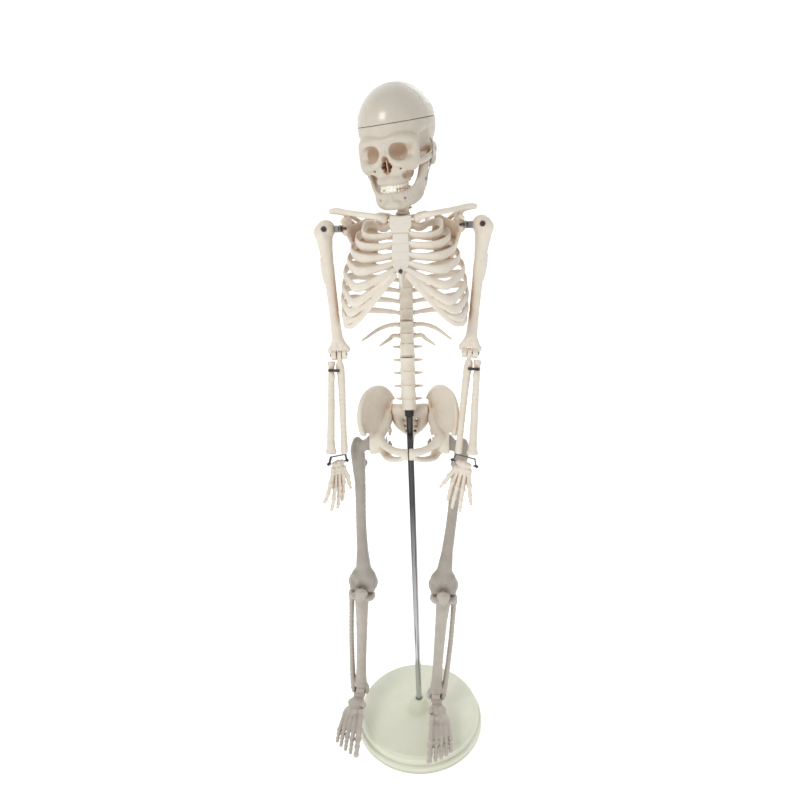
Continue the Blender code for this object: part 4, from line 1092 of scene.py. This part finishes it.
def temple(x, y, z, g):
    """The faint ridge over each temple."""
    return (z - 46) + ((y + 4) / 15) ** 2 * 2.2


def nape_line(x, y, z, g):
    """The seam at the back of the head, before its waves."""
    return (y - 38) + (g * x - 8) * 0.62 - (z - 30) * 0.25


def nape(x, y, z, g):
    return nape_line(x, y, z, g) + 0.8 * np.sin(z * 1.6)


def nape_above(x, y, z, g):
    return nape_line(x, y, z, g) + 0.9 * np.sin(z * 1.6) * np.sin(x * 1.3)


def make_skull():
    clay = Clay((-45, -62, -34), (45, 52, 35), 0.6)
    cranium(clay)
    clay.add([blob((0, -16, -4), (20, 18, 10)), blob((0, 14, -2), (25, 20, 9))], 5)
    clay.add([blob((0, -34, 5), (27, 14.5, 15)), blob((0, -35, -11), (16.5, 15.5, 14))], 6)
    clay.cut(sides(lambda g: [
        blob((g * 38, -20, 8), (9.5, 13, 15), (0, 0, g * -12)),
        brick((g * 29.8, -14, -8), (11.4, 24, 12), 2)
    ]), 3)
    brow = arch([(28, -36, 15, 2.6), (22, -43.5, 17.5, 3.0), (12, -48.2, 17.8, 3.0)], (0, -49, 16, 3.2))
    clay.add(path(brow, 3), 5)
    clay.add(path([(0, -48.5, 14, 3.6), (0, -49.5, 8, 2.6), (0, -52.8, 2.5, 2.2)], 3), 3)
    for g in (1, -1):
        clay.add(path([
            (g * 28, -36, 15, 2.8), (g * 28.5, -35.5, 8, 2.8), (g * 27.5, -37, 0, 3.4),
            (g * 25.5, -38.5, -6, 4.4)
        ], 3), 4)
        clay.add([
            blob((g * 22.5, -39, -6.5), (8.5, 6.4, 7), (0, 0, g * 22)), blob((g * 12, -42, -9), (9, 6, 8))
        ], 4)
        clay.add(path([
            (g * 26, -37.5, -5.5, 4.6), (g * 34, -27, -5, 3.4), (g * 37.4, -13, -2.6, 3.0),
            (g * 36.6, -1, 0.5, 3.2)
        ], 3, lambda p: (np.array((1.0, 0, 0)), 1.35)), 1.5)
        clay.add(path([
            (g * 6, -48.5, 0.5, 2.0), (g * 10, -47.8, -3.5, 2.4), (g * 17, -45.6, -5, 2.8),
            (g * 23.5, -41, -3.6, 3.2)
        ], 3), 4)
        clay.add(path([(g * 5.4, -48.5, 14, 2.2), (g * 5.0, -49.2, 7, 1.9), (g * 6, -49.8, 0, 2.2)], 3), 3)
        clay.add([blob((g * 32.5, 7, -5), (4.8, 6.4, 9.5)), blob((g * 35, 5, 3), (4, 9, 6))], 4)
        clay.add([blob((g * 11, -12, -13), (2, 7, 8)), blob((g * 14, -24, -14), (6, 8, 9))], 2.5)
    gum = arch([
        (13.4, -31, -20, 2.9), (12.2, -39, -20.6, 2.8), (8, -45.4, -20.8, 2.7)
    ], (0, -48.0, -20.6, 2.7))
    clay.add(path(gum, 3), 4)
    clay.add([blob((0, -51.2, -13.2), (1.8, 2.6, 2.0))], 2)
    roots = tooth_places(13.8, 18.0, -31)
    clay.add([
        stick((x, y + 0.4, -25), (x * 0.96, y * 0.985 + 1, -16), 1.5, 1.0) for x, y, _, _ in roots
    ], 1.2)
    clay.cut(sides(lambda g: [
        blob((g * 16.0, -49, 6.4), (8.6, 13, 8.2), (0, g * 14, g * 14)),
        blob((g * 13.2, -49, 7.4), (8.0, 13, 7.8), (0, g * 6, 0))
    ]), 1.3)
    clay.cut([blob((0, -52, -7.4), (5.6, 11, 5.8)), blob((0, -53, -1.2), (3.4, 8.4, 5.6))], 1.0)
    clay.cut(sides(lambda g: [blob((g * 3.8, -42, -6), (2.4, 8, 5.6))]), 1.0)
    clay.add([brick((0.3, -44.5, -6), (0.9, 9, 13), 0.35)], 0.8)
    clay.add(sides(lambda g: [
        blob((g * 4.5, -44.5, -9.5), (1.2, 5, 1.5)), blob((g * 4.2, -44, -4.5), (1.0, 4.6, 1.2))
    ]), 0.8)
    clay.cut(sides(lambda g: [blob((g * 17, -40.5, -15.5), (4.2, 4, 4.5))]), 3)
    clay.cut(sides(lambda g: [
        drum((g * 37, 1.5, 1), 2.1, 6, axis=0, rounding=0.5), drum((g * 14.0, -48, -9.6), 0.9, 3.2, axis=1)
    ]), 1.0)
    clay.cut([
        blob((0, 2, 34), (36.6, 41.5, 29)), blob((0, 0, 0), 4.35), drum((0, 0, -17.5), 17, 11, rounding=2)
    ], 0.8)
    clay.cut([blob((0, 0, -6), (8.2, 8.2, 9)), blob((0, -31, -29), (8.5, 13, 8))], 1.2)
    clay.cut([brick((0, 0, 63), (120, 130, 60), 0.01)], 0.5)
    wavy_pair(clay, (30, -24, 4), (45, 20, 27), squama)
    wavy_pair(clay, (24, -20, 20), (45, -8, 35), lambda x, y, z, g: y + 14 + 0.7 * np.sin(z * 1.7))
    wavy_pair(clay, (24, -44, 11), (33, -32, 15), lambda x, y, z, g: z - 13 + 0.2 * np.sin(x * 3), 0.35)
    wavy_pair(clay, (6, 22, -8), (45, 52, 35), nape, 0.4)
    wavy(clay, (-7, -54, 12), (7, -44, 17), lambda x, y, z: z - 14 + 0.3 * np.cos(x), 0.3)
    piece("skull_base_look", clay.mesh("skull base"), "skull", "skull", ["skull_base"])
    piece("upper_teeth_look", teeth(13.8, 18.0, -31, -25.4, -1), "skull", "teeth")


def make_skull_cap():
    clay = Clay((-45, -54, 32), (45, 52, 72.5), 0.6)
    cranium(clay)
    clay.cut([
        brick((0, 0, -11.65), (120, 130, 90), 0.01), blob((0, 2, 30.5), (36.8, 43, 37.4)),
        blob((0, -14, 27), (29.5, 30, 33))
    ], 0.5)
    wavy(clay, (-45, -30, 33), (45, -2, 73), coronal, 0.5, 0.55)
    wavy(clay, (-4, -12, 50), (4, 46, 73), midline, 0.5, 0.55)
    wavy_pair(clay, (0, 10, 33), (45, 52, 66), nape_above)
    wavy_pair(clay, (24, -38, 33), (42, 24, 60), temple, -0.35, 1.6)
    piece("skull_cap_look", clay.mesh("skull cap"), "cap", "cap", ["skull_cap"])


# width along the gum and depth of each tooth, from the middle outwards
TEETH = [(4.1, 1.9), (3.2, 1.8), (3.4, 2.2), (3.1, 2.3), (3.1, 2.4), (4.3, 2.8), (4.0, 2.8)]


def tooth_places(wide, deep, back):
    """(x, y, width, depth) of each tooth round an oval arch, both sides, from the middle outwards."""
    places = []
    for g in (1, -1):
        angle = 0.0
        for width, depth in TEETH:
            step = width / 2 / math.hypot(wide * math.cos(angle), deep * math.sin(angle))
            angle += step
            places.append((g * wide * math.sin(angle), back - deep * math.cos(angle), width, depth))
            angle += width / 2 / math.hypot(wide * math.cos(angle), deep * math.sin(angle))
    return places


def teeth(wide, deep, back, middle, way):
    """A row of teeth in an oval arch; way is +1 for teeth that point up."""
    clay = Clay((-wide - 4, back - deep - 4, middle - 6), (wide + 4, back + 4, middle + 6), 0.4)
    for x, y, width, depth in tooth_places(wide, deep, back):
        turn = math.degrees(math.atan2(x * deep * deep, -(y - back) * wide * wide))
        tall = 4.2 if depth < 2.4 else 3.8
        clay.add([
            blob((x, y, middle), (width * 0.5, depth * 0.62, tall), (0, 0, turn)),
            brick((x, y, middle + way), (width * 0.84, depth * 0.9, tall), 0.7, (0, 0, turn))
        ], 0.35)
    clay.cut([brick((0, 0, middle + way * (3.7 + 10)), (90, 130, 20), 0.01)], 0.4)
    return clay.mesh("teeth")


def make_jaw():
    clay = Clay((-37, -49, -43), (37, 5, 4), 0.55)

    back = [
        (29.0, -3, -5), (27.8, -3, -14), (26.4, -6, -24), (23.6, -14, -33), (18.4, -25, -37.5),
        (10.4, -34.8, -39.5), (0, -38.8, -40)
    ]
    fore = [
        (28, -14, -7), (26.8, -18, -14), (24.4, -22, -20.5), (20.6, -26.5, -25.5), (15.6, -32.5, -27.6),
        (9.6, -38.0, -28.4), (0, -41.0, -28.4)
    ]
    for g in (1, -1):
        rows = []
        for share, thick in ((0.0, 2.4), (0.5, 2.4), (1.0, 1.9)):
            row = [between(a, b, share) for a, b in zip(back, fore)]
            rows.append([(g * x, y, z, thick) for x, y, z in row])
        clay.add(sheet(rows, 3, 2), 1.5)
        clay.add([blob((g * 31.0, 0, 0), (3.6, 2.4, 2.6))], 1.5)
        clay.add(path([
            (g * 30.8, 0, -1, 2.4), (g * 28.8, -2, -8, 2.6), (g * 27.4, -2.8, -16, 2.6),
            (g * 26.2, -6, -25, 2.8)
        ], 3), 2)
        clay.add(path([
            (g * 27.2, -15, -14, 2.4), (g * 28.4, -13.5, -8, 2.2), (g * 29.4, -12, -3, 1.4)
        ], 3), 2)
        clay.add(path([
            (g * 23.4, -14, -33, 3.0), (g * 18.2, -25, -37, 3.2), (g * 10, -35.4, -38.6, 3.2),
            (0, -39.6, -38.8, 3.4)
        ], 3), 3)
        clay.add([blob((g * 4.6, -41.2, -38.2), (4.6, 3.6, 3.2))], 3)
        clay.cut([drum((g * 13.5, -38, -33), 0.9, 3, axis=1)], 0.8)
    clay.add([blob((0, -42.4, -35.5), (3.4, 2.8, 5.2))], 3)
    roots = tooth_places(13.0, 17.2, -23.5)
    clay.add([stick((x, y + 0.2, -26), (x * 0.97, y + 1, -32), 1.5, 1.0) for x, y, _, _ in roots], 1.4)
    piece("mandible_look", clay.mesh("mandible"), "jaw", "skull", ["mandible"])
    piece("lower_teeth_look", teeth(13.2, 17.4, -23.5, -27.4, 1), "jaw", "teeth")


# ---------------------------------------------------------------- hardware and the stand
def screw_head(clay, centre, axis, radius, half, face):
    """A pan head with a cross slot, whose slot side is face (+1 or -1) along the axis."""
    clay.add([drum(centre, radius, half, axis=axis, rounding=min(half, 0.6))], 0.2)
    for wide in (0, 1):
        size = [radius * 1.5, 0.55]
        if wide:
            size.reverse()
        size.insert(axis, 1.0)
        place = list(centre)
        place[axis] += face * half
        clay.cut([brick(place, size, 0.1)], 0.1)


def borrowed(node, look):
    """Leaves a small CAD node in view, with a better material."""
    made = frame["nodes"][node]
    made.data.materials.clear()
    made.data.materials.append(LOOK[look])


FINE = 0.24


def make_shoulder_hardware():
    clay = Clay((-5, -12, -5), (5, 10, 5), FINE)
    clay.add([drum((0, -0.5, 0), 1.25, 8.9, axis=1)], 0.2)
    screw_head(clay, (0, -10.2, 0), 1, 2.8, 0.8, -1)
    pair("humerus_screw", clay, "upper_arm", "dark")

    clay = Clay((-12, -5, -5), (5, 5, 5), FINE)
    clay.add([drum((-1.5, 0, 0), 1.25, 4.5, axis=0)], 0.2)
    screw_head(clay, (2.8, 0, 0), 0, 2.4, 0.8, 1)
    pair("glenoid_screw", clay, "torso", "dark", at="shoulder_link")

    clay = Clay((-1, -6, -5), (24, 7, 5), 0.3)
    clay.add([
        brick((1.0, 0.5, 0), (1.2, 10.3, 7.6), 0.3), brick((9.6, 5.2, 0), (18.6, 1.15, 7.6), 0.3)
    ], 0.5)
    clay.add([drum((19, 5.2, 0), 3.85, 0.56, axis=1, rounding=0.25)], 0.3)
    clay.cut([drum((0, 0, 0), 1.6, 6, axis=0), drum((19, 5.2, 0), 1.6, 6, axis=1)], 0.1)
    pair("shoulder_bracket", clay, "shoulder_link", "steel")


def make_forearm_hardware():
    clay = Clay((-3, -9, -22), (12, -4, -14), FINE)
    clay.add([brick((4.3, -6.3, -18), (13.5, 0.8, 3.4), 0.3)], 0.3)
    screw_head(clay, (8.4, -6.9, -18), 1, 2.0, 0.8, -1)
    pair("radius_link", clay, "forearm", "dark")

    clay = Clay((-12, -4, -147), (12, 4, -139), FINE)
    clay.add([drum((-1, 0, ELBOW), 1.08, 9.5, axis=0)], 0.2)
    screw_head(clay, (9.2, 0, ELBOW), 0, 2.0, 0.7, 1)
    pair("elbow_pin", clay, "upper_arm", "dark")

    clay = Clay((-17, -4, -6), (17, 4, 10), FINE)
    clay.add([brick((0, 0, 7.0), (24.4, 3.4, 0.9), 0.3)], 0.5)
    for g in (1, -1):
        clay.add([
            brick((g * 12.9, 0, 2.9), (0.9, 3.4, 9.3), 0.3, (0, g * -18, 0)),
            drum((g * 14.2, 0, -1.2), 1.1, 3, axis=0)
        ], 0.5)
        screw_head(clay, (g * 15.2, 0, -1.2), 0, 2.1, 0.75, g)
    pair("wrist_bracket", clay, "forearm", "dark", at="hand")


def make_leg_hardware():
    clay = Clay((-18, -8, -8), (-14, 8, 8), FINE)
    clay.add([drum((-15.9, 0, 0), 7.15, 0.65, axis=0, rounding=0.2)], 0.2)
    clay.cut([drum((-15.9, 0, 0), 4.75, 4, axis=0)], 0.2)
    pair("hip_washer", clay, "hip_link", "zinc")

    clay = Clay((-22, -7, -7), (5, 7, 7), 0.3)
    clay.add([drum((-9.5, 0, 0), 1.95, 13.5, axis=0, rounding=0.5)], 0.2)
    clay.add([
        drum((-19.4, 0, 0), 4.9, 1.3, axis=0, rounding=0.4),
        drum((-21.0, 0, 0), 2.7, 0.9, axis=0, rounding=0.6)
    ], 0.3)
    pair("hip_bolt", clay, "thigh", "steel")

    clay = Clay((-16, -3, -3), (16, 3, 3), FINE)
    clay.add([drum((0, 0, 0), 1.5, 15, axis=0, rounding=0.5)], 0.1)
    pair("knee_pin", clay, "shank", "chrome")


def make_sternum_screw():
    clay = Clay((-4, -60, 657), (4, -52, 667), FINE)
    clay.add([drum((0, -57.2, 662), 1.15, 3.8, axis=1)], 0.2)
    screw_head(clay, (0, -60.6, 662), 1, 2.3, 0.8, -1)
    piece("sternum_screw_look", clay.mesh("breastbone screw"), "torso", "dark", ["sternum_screw"])


def coil_points(turns=9, steps=120, radius=1.25):
    """The jaw spring's helix, from its upper end to its lower one."""
    for step in range(steps + 1):
        share = step / steps
        angle = share * 2 * math.pi * turns
        x = 40.1 - 4.6 * share + radius * math.cos(angle)
        y = -15.2 - 0.8 * share + radius * math.sin(angle)
        yield x, y, -14 * share


def make_jaw_spring():
    clay = Clay((28, -20, -30), (43, -10, 17), 0.22)
    coil = list(coil_points())
    clay.add([stick(a, b, 0.36, 0.36) for a, b in zip(coil, coil[1:])], 0.1)
    clay.add(path([(40.0, -14, 12, 0.5), (40.6, -14.4, 5, 0.45), (40.2, -15.2, 0, 0.4)], 1.5), 0.2)
    clay.add(path([(35.5, -16, -14, 0.4), (33.4, -16.6, -19, 0.45), (30.6, -17, -26, 0.5)], 1.5), 0.2)
    clay.add([
        drum((39.3, -14, 12), 1.6, 0.7, axis=0, rounding=0.4),
        drum((30.4, -17, -26), 1.4, 0.7, axis=0, rounding=0.4)
    ], 0.2)
    pair("jaw_spring", clay, "skull", "steel")


def make_scapula_screws():
    """The small screws that tie each shoulder blade to the ribs."""
    clay = Clay((36, 20, 646), (56, 36, 700), 0.35)
    for place in ((44, 31.5, 690), (47, 31.5, 672), (42, 34.5, 654)):
        clay.add([drum(place, 1.5, 1.6, axis=1, rounding=0.5)], 0.1)
    pair("scapula_screws", clay, "torso", "dark", stands=False)


def lathe(name, profile, look, nodes, segments=160, closed=True):
    """A part turned round the Z axis from (radius, height) points that run up the outside."""
    rows = len(profile)
    points = []
    for radius, height in profile:
        for i in range(segments):
            angle = 2 * math.pi * i / segments
            points.append((radius * math.cos(angle) * MM, radius * math.sin(angle) * MM, height * MM))
    faces = []
    for j in range(rows if closed else rows - 1):
        low, high = j * segments, (j + 1) % rows * segments
        for i in range(segments):
            after = (i + 1) % segments
            faces.append((low + i, low + after, high + after, high + i))
    mesh = bpy.data.meshes.new(name)
    mesh.from_pydata(points, [], faces)
    mesh.update()
    mesh.polygons.foreach_set("use_smooth", [True] * len(mesh.polygons))
    mesh.set_sharp_from_angle(angle=math.radians(38))
    return piece(f"{name}_look", mesh, "stand", look, nodes)


def rounded(profile, radius=0.6, steps=3):
    """The profile with each corner rounded off."""
    made = []
    count = len(profile)
    for i, corner in enumerate(profile):
        corner = np.array(corner, float)
        before, after = np.array(profile[i - 1], float), np.array(profile[(i + 1) % count], float)
        reach = min(radius, np.linalg.norm(before - corner) * 0.45, np.linalg.norm(after - corner) * 0.45)
        start = corner + unit(before - corner) * reach
        end = corner + unit(after - corner) * reach
        for step in range(steps + 1):
            t = step / steps
            made.append(tuple((1 - t) ** 2 * start + 2 * t * (1 - t) * corner + t * t * end))
    return made


def make_stand():
    rim = [(90, 0), (90, 9), (88, 11), (86.5, 11.2), (86.0, 12.4), (85.5, 19), (82, 23), (17.5, 23)]
    boss = [(15.2, 24.2), (9.8, 38.2), (8.6, 39.5), (4.35, 39.5)]
    inside = [(4.35, 14), (11, 14), (11, 20), (78, 20), (82, 17), (82, 4), (86, 4), (86, 0)]
    lathe("stand_base", rounded(rim + boss + inside, 0.9), "stand", ["stand_base"])
    lathe(
        "pole",
        rounded([(0.02, 5), (4, 5), (4, 478), (2.5, 478.2), (2.5, 521), (1.8, 522), (0.02, 522)], 0.4),
        "pole", ["pole"], 64
    )
    plug = [(2.85, 478.4), (5.0, 478.4), (5.4, 479), (5.4, 487.6), (2.85, 487.6)]
    lathe("pole_collar", rounded(plug, 0.4), "rubber", ["pole_collar"], 64)
    borrowed("base_plate", "steel")
    borrowed("pole_nut", "steel")
    borrowed("neck_pin", "chrome")


# ---------------------------------------------------------------- the picture
# name, place in metres, size in metres, watts, colour
LAMPS = [
    ("key", (-1.0, -1.7, 1.9), 0.8, 19.0, (1, 0.985, 0.96)),
    ("fill", (1.5, -1.2, 1.1), 1.4, 1.5, (1, 1, 1)),
    ("rim", (0.7, 1.3, 1.8), 1.0, 3.0, (1, 1, 1)),
]
LAMP_TARGET = (0, 0, 0.5)
WHITE_GLOW = 0.50
CAMERA_PLACE = (0.0285, -0.6918, 0.7407)
CAMERA_PITCH, CAMERA_ROLL, CAMERA_YAW = -0.318, 0.039, 0.056


def make_backdrop():
    """A white floor that curves up into a wall, in metres."""
    profile = [(-15.0, 0.0), (3.0, 0.0)]
    profile += [
        (3 + 3 * math.sin(a), 3 - 3 * math.cos(a)) for a in (math.radians(9 * i) for i in range(1, 11))
    ]
    profile.append((6.0, 16.0))
    points = [(x, y, z) for y, z in profile for x in (-18.0, 18.0)]
    faces = [(2 * i, 2 * i + 1, 2 * i + 3, 2 * i + 2) for i in range(len(profile) - 1)]
    mesh = bpy.data.meshes.new("backdrop")
    mesh.from_pydata(points, [], faces)
    mesh.polygons.foreach_set("use_smooth", [True] * len(faces))
    floor = bpy.data.objects.new("backdrop", mesh)
    bpy.context.scene.collection.objects.link(floor)
    white, _, principled = shader("white backdrop", 0.95)
    principled.inputs["Base Color"].default_value = (0.9, 0.9, 0.9, 1)
    principled.inputs["Specular IOR Level"].default_value = 0.05
    principled.inputs["Emission Color"].default_value = (1, 1, 1, 1)
    principled.inputs["Emission Strength"].default_value = WHITE_GLOW
    floor.data.materials.append(white)


def make_lights():
    world = bpy.data.worlds.new("white studio")
    bpy.context.scene.world = world
    world.use_nodes = True
    world.node_tree.nodes["Background"].inputs["Color"].default_value = (1, 1, 1, 1)
    world.node_tree.nodes["Background"].inputs["Strength"].default_value = WHITE_GLOW
    for name, place, size, power, colour in LAMPS:
        data = bpy.data.lights.new(name, "AREA")
        data.size = size
        data.energy = power
        data.color = colour
        lamp = bpy.data.objects.new(name, data)
        bpy.context.scene.collection.objects.link(lamp)
        aim = Vector(LAMP_TARGET) - Vector(place)
        lamp.matrix_world = Matrix.Translation(place) @ aim.to_track_quat("-Z", "Y").to_matrix().to_4x4()


def make_camera():
    data = bpy.data.cameras.new("camera")
    data.sensor_width = 36
    data.lens = 27.04
    data.shift_y = -0.013
    data.clip_start = 0.01
    camera = bpy.data.objects.new("camera", data)
    bpy.context.scene.collection.objects.link(camera)
    turns = ((CAMERA_YAW, "Z"), (CAMERA_PITCH, "X"), (CAMERA_ROLL, "Y"), (math.pi / 2, "X"))
    camera.matrix_world = Matrix.Translation(CAMERA_PLACE)
    for angle, axis in turns:
        camera.matrix_world = camera.matrix_world @ Matrix.Rotation(angle, 4, axis)
    bpy.context.scene.camera = camera
    bpy.context.scene.view_settings.view_transform = "Standard"


make_stand()
make_spine()
make_sacrum()
make_hip_bone()
make_rib_cage()
make_sternum()
make_scapula()
make_clavicle()
make_humerus()
make_ulna()
make_radius()
make_hand()
make_femur()
make_tibia()
make_patella()
make_foot()
make_skull()
make_skull_cap()
make_jaw()
make_shoulder_hardware()
make_forearm_hardware()
make_leg_hardware()
make_sternum_screw()
make_jaw_spring()
make_scapula_screws()
make_backdrop()
make_lights()
make_camera()
